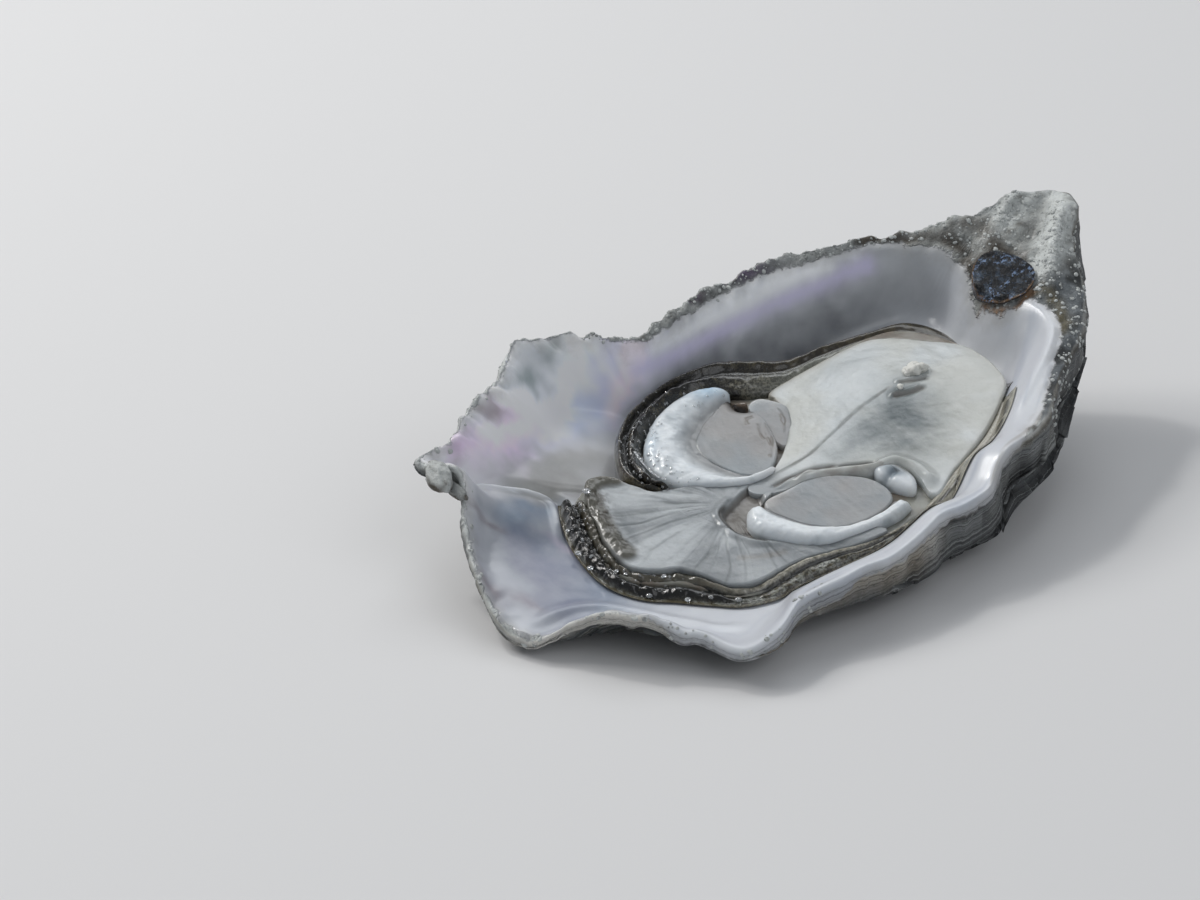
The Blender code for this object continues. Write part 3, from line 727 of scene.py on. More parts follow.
# a long piece between two rails: each row is one section, over the top from the outer rail and
# back below. `top` gets x, y, the way along in mm and the share of the way across. `tucks` are
# the radii of its two edges, and `tips` those of its ends.
def ribbonGrid(rails, count, across, top, grow=0.1, tucks=(1.0, 1.0), tips=(1.2, 1.2)):
    paired = curve([outer + inner for outer, inner in rails], count, False)
    outer, inner = paired[:, :2], paired[:, 2:]
    way = (inner - outer) / np.linalg.norm(inner - outer, axis=1)[:, None]
    outer, inner = outer - way * grow, inner + way * grow
    middle = (outer + inner) / 2
    along = np.concatenate([[0], np.cumsum(np.linalg.norm(np.diff(middle, axis=0), axis=1))])
    p = 0.5 - 0.5 * np.cos(np.linspace(0, math.pi, across))
    x, y = plan(outer[:, None] + (inner - outer)[:, None] * p[:, None])
    s, p = along[:, None] * np.ones_like(x), p * np.ones_like(x)
    width = np.linalg.norm(inner - outer, axis=1)[:, None]
    bed = inside(x, y) + flesh["bed"]
    fall = 0.0
    for share, tuck in zip((p, 1 - p), tucks):
        fall = fall + rolled(width * share, np.minimum(0.4 * width, tuck))
    fall = fall + rolled(s, tips[0]) + rolled(along[-1] - s, tips[1])
    z = np.maximum(top(x, y, s, p) - fall, bed + flesh["thinnest"])
    lower = [at(x[:, k], y[:, k], bed[:, k]) for k in range(across - 1, -1, -6)]
    grid = np.concatenate([at(x, y, z), np.stack(lower, 1)], 1)
    pad = [(0, 0), (0, len(lower))]
    return grid, np.pad(s, pad, "edge"), np.pad(p, pad, "edge")


# what all wet flesh shares: a tint from the piece, faint mottling, light that soaks in, and gloss
def fleshFinish(name, mottle, grain=0.0, **settings):
    finish = Finish(name, Subsurface_Weight=0.6, Subsurface_Radius=(1.0, 0.95, 0.9), Subsurface_Scale=0.0022,
                    Roughness=0.2, Coat_Weight=0.12, Coat_Roughness=0.07, IOR=1.42, Coat_IOR=1.34)
    tint = finish.attribute("tint", "Color")
    cloud, fine = finish.noise(3.2, 3, 0.5), finish.noise(0.6, 4, 0.6)
    colour = finish.blend(finish.between(cloud, 0.45, 0.75) * mottle, tint, flesh["milky"])
    colour = finish.blend(finish.between(fine, 0.5, 0.3) * mottle * 0.4, colour, flesh["shadow"])
    height = cloud * 0.8 + fine * 0.3
    if grain:
        dark = finish.attribute("specks")
        tiny = finish.noise(0.34, 3, 0.7)
        colour = finish.blend(finish.between(tiny, 0.56, 0.44) * dark * grain, colour, flesh["speck"])
        colour = finish.blend(finish.between(tiny, 0.66, 0.78) * dark * 0.25, colour, flesh["fleck"])
        height = height + finish.noise(0.5, 3, 0.6) * dark * 0.9
    finish.set(Base_Color=colour, Normal=finish.bump(height, 0.12), **settings)
    return finish.material


def settle(piece, node):
    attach(piece, "root")
    if node:
        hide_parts(node)
    print(piece.name + ":", len(piece.data.polygons), "faces")
    return piece


fan = {
    "hub": (-12.6, -3.2),
    "light": screen(143, 148, 151),
    "dark": screen(98, 104, 106),
    "margin": screen(86, 84, 75),
    "brown": screen(52, 46, 34),
    "edge": ((-16.8, 10.4), (-18.6, 11.8), (-20.6, 11.4), (-22.2, 9.4), (-23.8, 7.0), (-25.6, 4.2),
             (-26.6, 1.4)),
    "pigment": ((-20.4, 10.2), (-21.8, 8.6), (-23.2, 6.8), (-24.6, 5.0), (-25.6, 2.6)),
    "pocket": ((-12.6, -3.0), (-14.4, -3.2), (-15.6, -4.6), (-16.2, -6.6), (-16.0, -8.8), (-15.0, -11.0)),
    # a painted highlight for the pleats' swells, and painted shade along the pocket's edge
    "pleatHighlight": screen(206, 211, 213),
    "gap": screen(58, 54, 48),
    "rill": ((-20.0, -9.0), (-18.0, -11.5), (-15.0, -13.5)),
}
body = {
    "cream": screen(196, 201, 202),
    "warm": screen(190, 192, 187),
    "grey": screen(108, 116, 118),
    # the next two are painted shade: brown-grey where folds, creases and seams lie low, and near black in
    # the body's opening
    "foldShade": screen(116, 108, 98),
    "openingShade": screen(44, 38, 32),
    "edge": screen(134, 131, 122),
    "crease": ((17.6, -7.0), (13.4, -6.3), (9.6, -5.8), (5.2, -5.6), (0.6, -5.4), (-2.8, -4.7),
               (-5.9, -3.9)),
    "step": 0.18,                      # how much higher the flesh stands on the crease's back side
    "rise": ((-6.6, -6.4), (-4.4, -7.2), (-1.6, -9.2), (0.6, -11.4), (2.2, -13.2), (4.6, -14.6),
             (5.2, -17.0), (4.6, -19.6)),
    "folds": (((-7.4, -5.2), (-3.6, -6.2), (-0.8, -7.6), (1.0, -9.8)),
              ((-4.6, -6.6), (-1.6, -7.6), (0.2, -9.4))),
    "opening": ((0.4, -9.6), (1.8, -10.9), (2.8, -12.3), (3.4, -13.4)),
    "greys": (((12.6, -10.6), (8.4, 4.4), 25, 0.85), ((6.0, -8.8), (6.0, 2.2), -5, 0.5),
              ((10.0, -14.0), (6, 4), 20, 0.4), ((15.4, -8.8), (1.6, 0.9), 0, 0.45),
              ((18, 1), (7, 2), -20, 0.25)),
    "ledges": (((14.2, -7.4), (16.1, -8.8), (18.4, -9.8)), ((17.0, -6.4), (18.2, -7.6), (20.2, -9.0))),
}


# faint fibres that run along the body's length
def bodyStreaks(x, y, wide, long, seed):
    return bumps(at((x - 0.5 * y) / wide, (y + 0.5 * x) / long, 0 * x), seed)


def bodyTop(x, y):
    top = fleshLevel(x, y)
    away, along, side = meetLine(x, y, body["crease"])
    near = faded(along, 6, 5)
    top = top + body["step"] * near * bell(away / 3.6) * smooth((side + 0.35) / 0.7)
    top = top - 0.06 * near * bell((side + 0.12) / 0.14) * (away < 3)
    away, along = nearLine(x, y, body["rise"])
    top = top + 1.0 * bell((away + 0.25 * bumps(flat(x, y) / 1.6, 233)) / 0.95) * smooth(along * 5)
    for stops in body["folds"]:
        top = top - 0.3 * groove(x, y, stops, 0.3) + 0.16 * groove(x + 0.3, y + 0.5, stops, 0.35)
    top = top - 0.9 * groove(x, y, body["opening"], 0.35)
    for stops in body["ledges"]:
        top = top + 0.3 * groove(x, y, stops, 0.35) - 0.3 * groove(x - 0.2, y + 0.55, stops, 0.4)
    top = top + 0.35 * spot(x, y, (15.7, -7.8), (0.6, 0.5))
    return top + 0.006 * bodyStreaks(x, y, 1.1, 6, 234) * smooth((x - 5) / 4)


def makeBody():
    rows = 84
    right = [inner for _, inner in frontFrill[18:]] + [inner for _, inner in backFrill[:10:-1]]
    grid = patchGrid(outlines["bodyLeft"] + tuple(right), bodyTop,
                     lambda x, y: 0.1 + 0.35 * smooth((x + 5) / 6), 0.3, 420, rows)
    x, y = plan(grid)
    tint = painted(body["cream"], body["warm"], smooth(0.5 + 0.8 * rough(grid, 7, 230)))
    streak = 0.6 * bodyStreaks(x, y, 1.5, 7, 235)
    blot = 0.9 + 0.25 * rough(grid, 2.5, 231) + 0.1 * streak
    tint = spotted(tint, x, y, body["grey"], body["greys"], blot)
    tint = painted(tint, body["warm"] * 0.8, 0.4 * smooth((x - 19) / 7) * smooth(0.5 + streak))
    # painted shade: brown-grey beside the neck's rise, along the folds and the crease and under the ledges,
    # and near black in the opening
    away, along = nearLine(x, y, body["rise"])
    flank = bell((away - 0.2) / 1.3) * smooth(along * 4) * (x < 3.2)
    tint = painted(tint, body["foldShade"], 0.5 * flank * (0.8 + 0.5 * rough(grid, 1.2, 236)))
    tint = painted(tint, fan["light"], smooth((-2 - x) / 6))
    lines = [(body["foldShade"] * 0.6, 0.28, 0.75, stops) for stops in body["folds"]]
    lines += [(body["openingShade"], 0.42, 0.95, body["opening"]), (body["foldShade"], 0.13, 0.28, body["crease"])]
    lines += [(body["foldShade"], 0.35, 0.5, [(a + 0.1, b - 0.5) for a, b in stops]) for stops in body["ledges"]]
    tint = drawn(tint, x, y, lines, 0.15)
    # a grey-brown edge with painted shade: the flesh darkens towards its back edge, where it meets the
    # mantle
    border = np.zeros(x.shape)
    border[:rows] = smooth((np.linspace(0, 1, rows) - 0.72) / 0.26)[:, None] ** 1.5
    border[:rows] *= smooth((x[:rows] - 4) / 4)
    tint = painted(tint, body["edge"], border * (0.35 + 0.6 * smooth(y / 3)))
    piece = lofted("body_flesh", grid, fleshFinish("creamFlesh", 0.14), {"tint": tint})
    return settle(piece, "body")


# how deep the fine lines between the pleats run at a point, and how far it lies from their hub
def pleating(x, y):
    spoke = np.arctan2(y - fan["hub"][1], x - fan["hub"][0])
    spoke = np.mod(spoke + math.pi / 2, 2 * math.pi)
    away = np.hypot(x - fan["hub"][0], y - fan["hub"][1])
    spoke = spoke + 0.06 * bumps(flat(x, y) / 3.5, 240)
    valley = np.abs(bumps(at(spoke * 6.5, away * 0.07, 0 * x), 241))
    fine = np.abs(bumps(at(spoke * 17.0, away * 0.10, 0 * x), 242))
    deep = bell(valley / 0.16) + 0.5 * bell(fine / 0.2)
    return deep * smooth((away - 1.0) / 4), bumps(at(spoke * 4.0, away * 0.05, 0 * x), 243), away


# how far the fan has sunk into the pocket beside its hub
def sunkenPocket(x, y):
    pocket, _, side = meetLine(x, y, fan["pocket"])
    return pocket, side, smooth(4.7 - pocket) * smooth((x + 17.5) / 1.5)


def fanTop(x, y):
    deep, swell, away = pleating(x, y)
    margin, _ = nearLine(x, y, fan["edge"])
    shown = smooth((margin - 0.8) / 0.8)
    top = fleshLevel(x, y) - 0.05 * deep * shown + 0.12 * swell * smooth((away - 2) / 6) * shown
    top = top + 0.32 * bell(margin / 0.9) - 0.06 * bell((margin - 1.7) / 0.6)
    top = top + 0.1 * rough(flat(x, y), 0.8, 246) * bell(margin / 1.3)
    pocket, side, sunk = sunkenPocket(x, y)
    return top + 0.2 * bell((pocket - 0.5) / 0.5) * smooth(side / 0.3) - 0.8 * smooth(-side / 0.7) * sunk


def makeFan():
    outline = outlines["fanRight"] + tuple(inner for _, inner in frontFrill[1:16])
    grid = patchGrid(outline, fanTop, 0.3, 0.3, 520, 100)
    x, y = plan(grid)
    deep, swell, away = pleating(x, y)
    margin, _ = nearLine(x, y, fan["edge"])
    shown = smooth((margin - 0.7) / 1.0)
    # painted shade in the fine valleys between the pleats, and a painted highlight on their swells
    tint = painted(fan["light"], fan["dark"], np.clip(0.42 * deep * shown - 0.2 * swell + 0.08, 0, 1))
    tint = painted(tint, fan["pleatHighlight"], 0.4 * smooth(swell * 1.6) * smooth((away - 2) / 5) * shown)
    tint = painted(tint, fan["light"] * 0.72, 0.35 * smooth((-y - 2) / 10) * smooth((away - 4) / 8))
    tint = painted(tint, fan["margin"], 0.9 * (1 - shown))
    away, _ = nearLine(x, y, fan["pigment"])
    speckle = smooth(0.5 + 1.6 * rough(grid, 0.7, 245, 3, 0.8))
    tint = painted(tint, fan["brown"], 0.85 * bell(away / 0.9) * speckle)
    # painted shade in the sunken pocket beside the hub, and dark lines of painted shade along its edge and
    # down the rill
    _, side, sunk = sunkenPocket(x, y)
    tint = painted(tint, body["foldShade"] * 0.9, 0.75 * smooth(-side / 0.6) * sunk)
    lines = ((fan["gap"], 0.28, 0.85, fan["pocket"]), (body["foldShade"], 0.5, 0.4, fan["rill"]))
    tint = drawn(tint, x, y, lines, 0.12)
    piece = lofted("gill_fan_pleats", grid, fleshFinish("gillFlesh", 0.1), {"tint": tint})
    return settle(piece, "gill_fan")


mantle = {
    "black": screen(10, 10, 9),
    "olive": screen(84, 78, 60),
    "brown": screen(50, 44, 32),
    "grey": screen(134, 136, 128),
    "pale": screen(178, 174, 160),
    "papillae": 0.22,                  # how high the fine grain of its skin stands
    "pits": (((5.3, 12.8), (0.5, 1.3), 0, 0.9), ((6.0, 9.2), (0.5, 1.3), 0, 0.8),
             ((2.4, 13.8), (0.8, 0.5), 0, 0.7)),
    "lines": (((-6.8, -20.6), (-2.6, -21.3), (0.1, -21.6), (4.4, -21.2), (8.9, -20.9), (14.5, -20.5),
               (19.9, -19.1), (23.5, -17.9)),
              ((-8.9, -21.6), (-5.0, -22.5), (0.3, -22.9), (4.0, -22.8), (8.0, -22.4), (12.0, -22.1),
               (17.0, -21.6), (23.0, -19.4))),
}


def ridge(p, centre, half):
    return bell((p - centre) / half)


# the heights and colours of a frill, `s` mm along it and `p` of the way across
def frontTop(x, y, s, p):
    top = -3.0 - 0.0013 * (x - 5) ** 2
    thick = smooth(1.15 - s / 66)
    stretch = at(s / 2.4, p * 1.5, 0 * s)
    wave = 0.3 * bumps(stretch, 250) + 0.22 * bumps(stretch * 2.2, 251)
    outer = (0.62 + wave + 0.35 * smooth((30 - s) / 10)) * ridge(p, 0.3, 0.22)
    inner = (0.45 + 0.5 * wave) * ridge(p, 0.8, 0.13)
    dip = -0.6 * ridge(p, 0.57, 0.09)
    small = rough(flat(x, y), 0.9, 252, 3, 0.6) * (0.4 + 0.6 * smooth((30 - s) / 20))
    return top - 0.5 + thick * (outer + inner + dip + mantle["papillae"] * small)


def frontColours(grid, s, p):
    grain = rough(grid, 0.9, 260, 4, 0.7)
    slow = bumps(at(s / 5, 0 * s, 0 * s), 261)
    left = smooth((32 - s) / 9)
    right = smooth((s - 50) / 10)
    tint = painted(mantle["olive"], mantle["grey"], smooth(0.25 + 0.9 * grain + 0.3 * slow))
    tint = painted(tint, mantle["brown"], 0.7 * smooth(-0.1 - grain) * (1 - right))
    tint = painted(tint, mantle["pale"], 0.8 * right)
    black = smooth((p - 0.06 - 0.05 * slow) / 0.12) * smooth((0.66 - p) / 0.1)
    tint = painted(tint, mantle["black"], np.clip(left * 1.6, 0, 0.98) * black * smooth(1.5 + grain))
    line = ridge(p, 0.56 + 0.03 * slow, 0.1) * (1 - right)
    tint = painted(tint, mantle["black"], np.clip(1.25 * line, 0, 0.98))
    inner = smooth((p - 0.66) / 0.06)
    beige = painted(mantle["pale"], mantle["olive"] * 1.2, smooth(0.15 + 0.7 * grain))
    tint = painted(tint, beige, 0.9 * inner * (1 - 0.4 * right) * (1 - 0.6 * left))
    tint = painted(tint, mantle["brown"], 0.6 * inner * left)
    dotted = smooth(0.75 + 0.9 * bumps(at(s / 0.8, p * 5, 0 * s), 262))
    for stops in mantle["lines"]:
        away, along = nearLine(*plan(grid), stops)
        thin = dotted * bell(away / 0.34) * smooth(along * 6)
        tint = painted(tint, mantle["brown"] * 0.5, np.clip(1.2 * thin, 0, 0.95))
    tint = painted(tint, mantle["olive"] * 1.7, 0.6 * (1 - right) * smooth((0.1 - p) / 0.07))
    specks = np.clip(0.25 + 0.5 * left * black + 0.5 * (1 - left) * (1 - right) - 0.3 * inner, 0.1, 1)
    return tint * (1 - 0.25 * left)[..., None], specks


def backTop(x, y, s, p):
    top = -4.9 - 0.062 * x
    thick = smooth(1.2 - s / 60)
    stretch = at(s / 2.6, p * 1.5, 0 * s)
    wave = 0.22 * bumps(stretch, 270) + 0.16 * bumps(stretch * 2.2, 271)
    outer = (0.6 + wave) * ridge(p, 0.16, 0.13)
    inner = (0.75 + 1.3 * wave) * ridge(p, 0.62, 0.17)
    dip = -0.5 * ridge(p, 0.38, 0.1)
    small = 0.4 * mantle["papillae"] * rough(flat(x, y), 1.2, 272, 2, 0.6)
    return top - 0.3 + thick * (outer + inner + dip + small)


def backColours(grid, s, p):
    grain = rough(grid, 1.0, 280, 4, 0.65)
    slow = bumps(at(s / 6, 0 * s, 0 * s), 281)
    fade = smooth((s - 25) / 20)
    tint = painted(mantle["brown"] * 0.8, mantle["olive"], smooth(0.25 + 0.8 * grain))
    dark = np.clip(1.3 * ridge(p, 0.38 + 0.03 * slow, 0.13), 0, 1) * (1 - 0.75 * fade)
    tint = painted(tint, mantle["black"], 0.97 * dark)
    wet = smooth((p - 0.52) / 0.1) * (1 - smooth((s - 22) / 12))
    blotch = painted(mantle["black"], mantle["olive"] * 0.8, smooth(0.1 + 0.9 * grain))
    tint = painted(tint, blotch, 0.85 * wet)
    grey = fade * smooth((p - 0.3) / 0.25)
    tint = painted(tint, mantle["grey"], 0.85 * grey)
    tint = painted(tint, mantle["brown"] * 1.5, 0.5 * fade * ridge(p, 0.22, 0.12))
    tint = spotted(tint, *plan(grid), mantle["black"], mantle["pits"])
    return tint, np.clip(0.25 + 0.8 * (1 - fade) * smooth(p / 0.2), 0, 1)


def makeMantles():
    finish = fleshFinish("mantleFlesh", 0.0, 0.9, Subsurface_Weight=0.15, Subsurface_Scale=0.001,
                         Roughness=0.14, Coat_Weight=0.8, Coat_Roughness=0.03)
    made = []
    for node, rails, top, colours in (("mantle_front", frontFrill, frontTop, frontColours),
                                      ("mantle_back", backFrill, backTop, backColours)):
        grid, s, p = ribbonGrid(rails, 520, 60, top)
        tint, specks = colours(grid, s, p)
        drops = smooth((26 - s) / 8) * smooth((p - 0.15) / 0.2) * smooth((grid[..., 2] + 5.4) / 0.5)
        piece = lofted(node + "_frill", grid, finish, {"tint": tint, "specks": specks, "drops": drops})
        made.append(settle(piece, node))
    return made


muscle = {
    "grey": screen(148, 147, 146),
    "rim": screen(140, 147, 151),
    "dark": screen(30, 24, 18),
    "brown": screen(96, 84, 70),
    "band": screen(224, 229, 232),
    "bandShade": screen(164, 173, 179),
    "backTop": -4.5,                   # the levels of the tops, in mm from the rim's plane
    "flapTop": -4.72,
    "backBandTop": -3.5,
    "frontTop": -3.45,
    "frontBandTop": -2.7,
    # the bluish places of the bands: place, reach, turn, strength
    "blues": (((2.6, 10.8), (2.2, 1.6), -30, 0.7), ((-9.5, 10.6), (3.0, 1.0), 35, 0.3)),
    "blue": screen(146, 178, 202),
    # the dark pit beside the upper piece, as place, reach, turn and depth, darkened with painted shade, and
    # the fine wrinkles
    "backPits": (((3.7, 6.3), (1.2, 1.0), -40, 1.7), ((4.3, 7.8), (1.2, 1.0), -40, 1.1)),
    "backWrinkles": (((2.6, 4.0), (1.6, 4.4), (0.8, 3.6)),
                     ((2.6, 2.4), (1.2, 1.0), (0.6, 0.0), (-1.0, -1.2)),
                     ((1.8, 3.0), (0.4, 1.6), (-0.2, 0.4)),
                     ((-2.6, -2.0), (-0.6, -0.6), (1.2, 1.4))),
    "flapWrinkles": (((2.2, -0.6), (4.6, 1.1), (5.9, 3.0)),),
}
# the colours of the knobbed end: colour, place, reach, turn, strength
nubColours = (
    (muscle["band"], (1.8, -14.6), (0.9, 0.8), 0, 0.8),
    (screen(96, 112, 124), (2.9, -16.6), (0.9, 1.6), 20, 0.8),
    (screen(104, 98, 86), (4.1, -16.8), (0.6, 2.0), 10, 0.7),
)


def fibres(x, y, turn):
    turn = math.radians(turn)
    along, across = x * math.cos(turn) + y * math.sin(turn), y * math.cos(turn) - x * math.sin(turn)
    return sum(share * bumps(at(across / wide, along / 9, 0 * x), seed)
               for share, wide, seed in ((1, 0.5, 290), (0.6, 1.4, 291)))


def makeDisc(node, outline, height, turn, roll, pits, wrinkles, finish):
    def top(x, y):
        level = height + 0.5 * fleshy(x, y) + 0.012 * fibres(x, y, turn)
        for stops in wrinkles:
            level = level - 0.07 * groove(x, y, stops, 0.2)
        for place, far, slant, deep in pits:
            level = level - deep * spot(x, y, place, far, slant)
        return level

    grid = patchGrid(outlines[outline], top, roll, 0.35, 260, 60)
    x, y = plan(grid)
    tint = painted(muscle["grey"], muscle["rim"], smooth(0.4 + 0.5 * rough(grid, 5, 292)))
    tint = tint * (1 + 0.012 * fibres(x, y, turn))[..., None]
    tint = drawn(tint, x, y, [(muscle["brown"], 0.14, 0.5, stops) for stops in wrinkles], 0.25)
    # painted shade in the pits: brown round them and near black within
    for colour, wider, strength in ((muscle["brown"], 1.5, 0.9), (muscle["dark"], 1.0, 1.6)):
        stainsAndPaintedLight = [(place, np.multiply(far, wider), slant, strength) for place, far, slant, _ in pits]
        tint = spotted(tint, x, y, colour, stainsAndPaintedLight)
    piece = lofted(node + "_flesh", grid, finish, {"tint": tint})
    return settle(piece, node)


def makeDiscs():
    finish = fleshFinish("muscleFlesh", 0.06, Subsurface_Weight=0.9, Subsurface_Scale=0.004)
    makeDisc("muscle_back", "backDisc", muscle["backTop"], 60.0, 0.3, muscle["backPits"],
             muscle["backWrinkles"], finish)
    makeDisc("muscle_front", "frontDisc", muscle["frontTop"], 75.0, 0.3, (), (), finish)
    makeDisc("muscle_back_flap", "backFlap", muscle["flapTop"], 10.0, 0.14, (), muscle["flapWrinkles"],
             finish)


# an opaque band: `low` is the level that it falls to inwards from `start` of the way across
def makeBand(node, rails, low, high, start, fine, tip, seed, finish):
    def top(x, y, s, p):
        stripes = bumps(at(s, p * 1.2, 0 * s), seed) + 0.5 * bumps(at(s / 2.6, p * 1.5, 0 * s), seed + 1)
        puffy = mixed(high, low - 0.08, smooth((p - start) / (1 - start))) - 0.35 * (1 - smooth(p / 0.35))
        lumps = 0.09 * rough(flat(x, y), 1.5, seed + 4, 3, 0.6) * smooth((1 - p) / 0.3)
        return puffy + fine * stripes * smooth(p / 0.2) + lumps + 0.5 * fleshy(x, y)

    grid, s, p = ribbonGrid(rails, 260, 48, top, 0.3, (1.0, 0.05), (tip, 1.0))
    x, y = plan(grid)
    shade = 0.15 + 0.1 * bumps(at(s, p * 1.2, 0 * s), seed) + 0.5 * smooth(rough(grid, 2.2, seed + 2))
    shade = shade + 0.25 * ridge(p, 0.0, 0.2)
    tint = painted(muscle["band"], muscle["bandShade"], np.clip(shade, 0, 1))
    tint = spotted(tint, x, y, muscle["blue"], muscle["blues"])
    inner = smooth((p - start - 0.1) / (0.85 - start))
    tint = painted(tint, mixed(muscle["grey"], muscle["rim"], 0.4), inner)
    drops = ridge(p, 0.12, 0.16) * smooth((-4 - x) / 3) * smooth((y - 1) / 2)
    drops = drops + 0.3 * ridge(p, 0.5, 0.2) * (x > -2)
    piece = lofted(node + "_flesh", grid, finish, {"tint": tint, "drops": drops})
    return settle(piece, node)


def nubTop(x, y):
    return -2.75 + 0.16 * bumps(flat(x, y) / 1.7, 320) - 0.35 * ridge(y, -16.1, 0.45) * (x < 3.2)


def makeNub(finish):
    grid = patchGrid(outlines["frontNub"], nubTop, 1.1, 0.15, 160, 40)
    x, y = plan(grid)
    tint = painted(muscle["bandShade"] * 0.8, muscle["band"], smooth((-15.6 - y) / 2.0))
    for colour, *spots in nubColours:
        tint = spotted(tint, x, y, colour, (spots,))
    piece = lofted("muscle_front_nub_flesh", grid, finish, {"tint": tint})
    return settle(piece, "muscle_front_nub")


def makeBands():
    finish = fleshFinish("bandFlesh", 0.1, Subsurface_Weight=0.6)
    back = makeBand("muscle_back_band", backBand, muscle["backTop"], muscle["backBandTop"],
                    0.42, 0.05, 2.2, 300, finish)
    front = makeBand("muscle_front_band", frontBand, muscle["frontTop"], muscle["frontBandTop"],
                     0.62, 0.03, 0.8, 310, finish)
    makeNub(finish)
    return [back, front]


def filmTop(x, y):
    return fleshLevel(x, y) - 0.9 - 0.05 * np.maximum(y, 0)


# a thin translucent layer under the seams of the meat, so that nothing shows between the pieces
def makeFilm():
    outline = [mixed(np.array(outer), np.array(inner), 0.6) for outer, inner in frontFrill[::-1]]
    outline += [(-18.0, 13.0), (-17.0, 8.0)]
    outline += [mixed(np.array(outer), np.array(inner), 0.5) for outer, inner in backFrill[1:-1]]
    grid = patchGrid(outline, filmTop, 0.4, 0.0, 300, 50)
    # its brown-grey is the painted shade of the folds, seen in the seams
    tint = painted(body["foldShade"], mantle["grey"], smooth(0.4 + rough(grid, 3, 340)))
    piece = lofted("flesh_film", grid, fleshFinish("filmFlesh", 0.1), {"tint": tint})
    return settle(piece, None)


ligament = {
    "navy": screen(9, 11, 17),
    "rust": screen(132, 104, 76),
    # the glint and fleck colours are painted highlights on the horn's facets
    "glint": screen(110, 132, 156),
    "fleck": screen(132, 156, 192),
    "deep": screen(8, 10, 15),
}


# a crumbled surface of small facets, which rises towards the hinge
def ligamentTop(x, y):
    lumps = 0.5 * rough(flat(x, y), 1.6, 330, 3, 0.6)
    facets = 0.9 * np.abs(bumps(at((x + y) / 1.3, (y - x) / 2.2, 0 * x), 331))
    return -1.25 + 0.25 * (x - 39) + lumps + facets


def ligamentFinish():
    finish = Finish("ligamentHorn", Coat_Weight=0.45, Coat_Roughness=0.06, IOR=1.45)
    fine, facets, patches = finish.noise(0.4, 4, 0.65), finish.cells(1.1), finish.noise(1.5, 3, 0.6)
    # painted glints: pale blue flecks where the patches and the fine noise are both high
    paintedGlints = finish.between(patches, 0.5, 0.62) * finish.between(fine, 0.48, 0.6) * 0.85
    colour = finish.blend(paintedGlints, finish.attribute("tint", "Color"), ligament["fleck"])
    colour = finish.blend(finish.between(patches, 0.5, 0.35) * 0.7, colour, ligament["deep"])
    finish.set(Base_Color=colour, Roughness=0.12 + fine * 0.2, Normal=finish.bump(facets + fine * 0.4, 1.0))
    return finish.material


def makeLigament():
    rows = 44
    grid = patchGrid(outlines["ligament"], ligamentTop, 0.5, 0.35, 180, rows)
    lumps = rough(grid, 0.8, 332, 4, 0.75)
    # painted glints on the lumps
    tint = painted(ligament["navy"], ligament["glint"], 0.3 * smooth(lumps * 1.2))
    part = np.zeros(grid.shape[:2])
    part[:rows] = np.linspace(0, 1, rows)[:, None]
    border = smooth((part + 0.12 * bumps(grid / 0.9, 333) - 0.84) / 0.12)
    tint = painted(tint, ligament["rust"], 0.8 * border * smooth((42 - grid[..., 0]) / 3))
    piece = lofted("hinge_ligament_horn", grid, ligamentFinish(), {"tint": tint})
    return settle(piece, "hinge_ligament")


# how the valve's surface is worked over, in mm: how far, and about how wide
relief = {
    "rowsInside": 68,
    "rowsOutside": 80,
    "ruffle": (0.55, 3.2, 6.0),        # folds of the thin left edge, and how far in they reach
    "grit": (0.34, 1.0),               # crust inside the outline
    "lumps": (0.35, 3.6),              # crust outside, and ...
    "pits": (0.12, 0.7),               # ... its finer pitting
    "layer": (0.55, 1.3),              # growth layers outside
    "strata": (0.30, 7.0, 0.75),       # uneven layers: how far, how long along the rim, how thick
    "rounding": (25, 50, 75, 100),     # the turns of the rows that round the rim off
    "ripple": (0.05, 1.9),             # faint growth ripples of the nacre
    "pearlOver": (198.0, 296.0, 0.8),  # where the porcelain reaches over the edge, and how far
}
rimRow = relief["rowsInside"] + len(relief["rounding"])     # the rows before it are the upper side
# ridges and creases of the nacre: stops, height, half width, and how much lower the near side lies
creases = {
    "crest": (((-36.2, 23.6), (-33.5, 21.6), (-29.6, 20.2), (-27.2, 18.3), (-25.0, 16.6), (-24.1, 14.2),
               (-26.3, 11.6), (-29.4, 9.0)), 0.55, 0.45, 0.9),
    "lipCrest": (((-44.6, 2.2), (-41.0, 1.6), (-37.6, 0.6), (-35.2, -1.4), (-33.4, -5.4), (-32.2, -11.4),
                  (-31.4, -15.5), (-27.5, -18.4)), 0.5, 0.9, 0.0),
    "hingeRoll": (((36.9, -11.4), (36.4, -13.4), (35.4, -16.0), (33.0, -18.6), (29.8, -20.0), (25.3, -21.2),
                   (20.6, -22.3), (16.0, -23.2)), 0.55, 0.85, 0.0),
    "tongue": (((33.0, 10.4), (36.6, 6.4), (38.2, 3.0), (38.8, 0.4), (38.4, -2.0), (36.8, -4.0)),
               0.55, 0.9, 0.0),
    "backFold": (((-16.0, 21.6), (-8.0, 20.6), (0.0, 19.0)), 0.25, 1.2, 0.0),
}
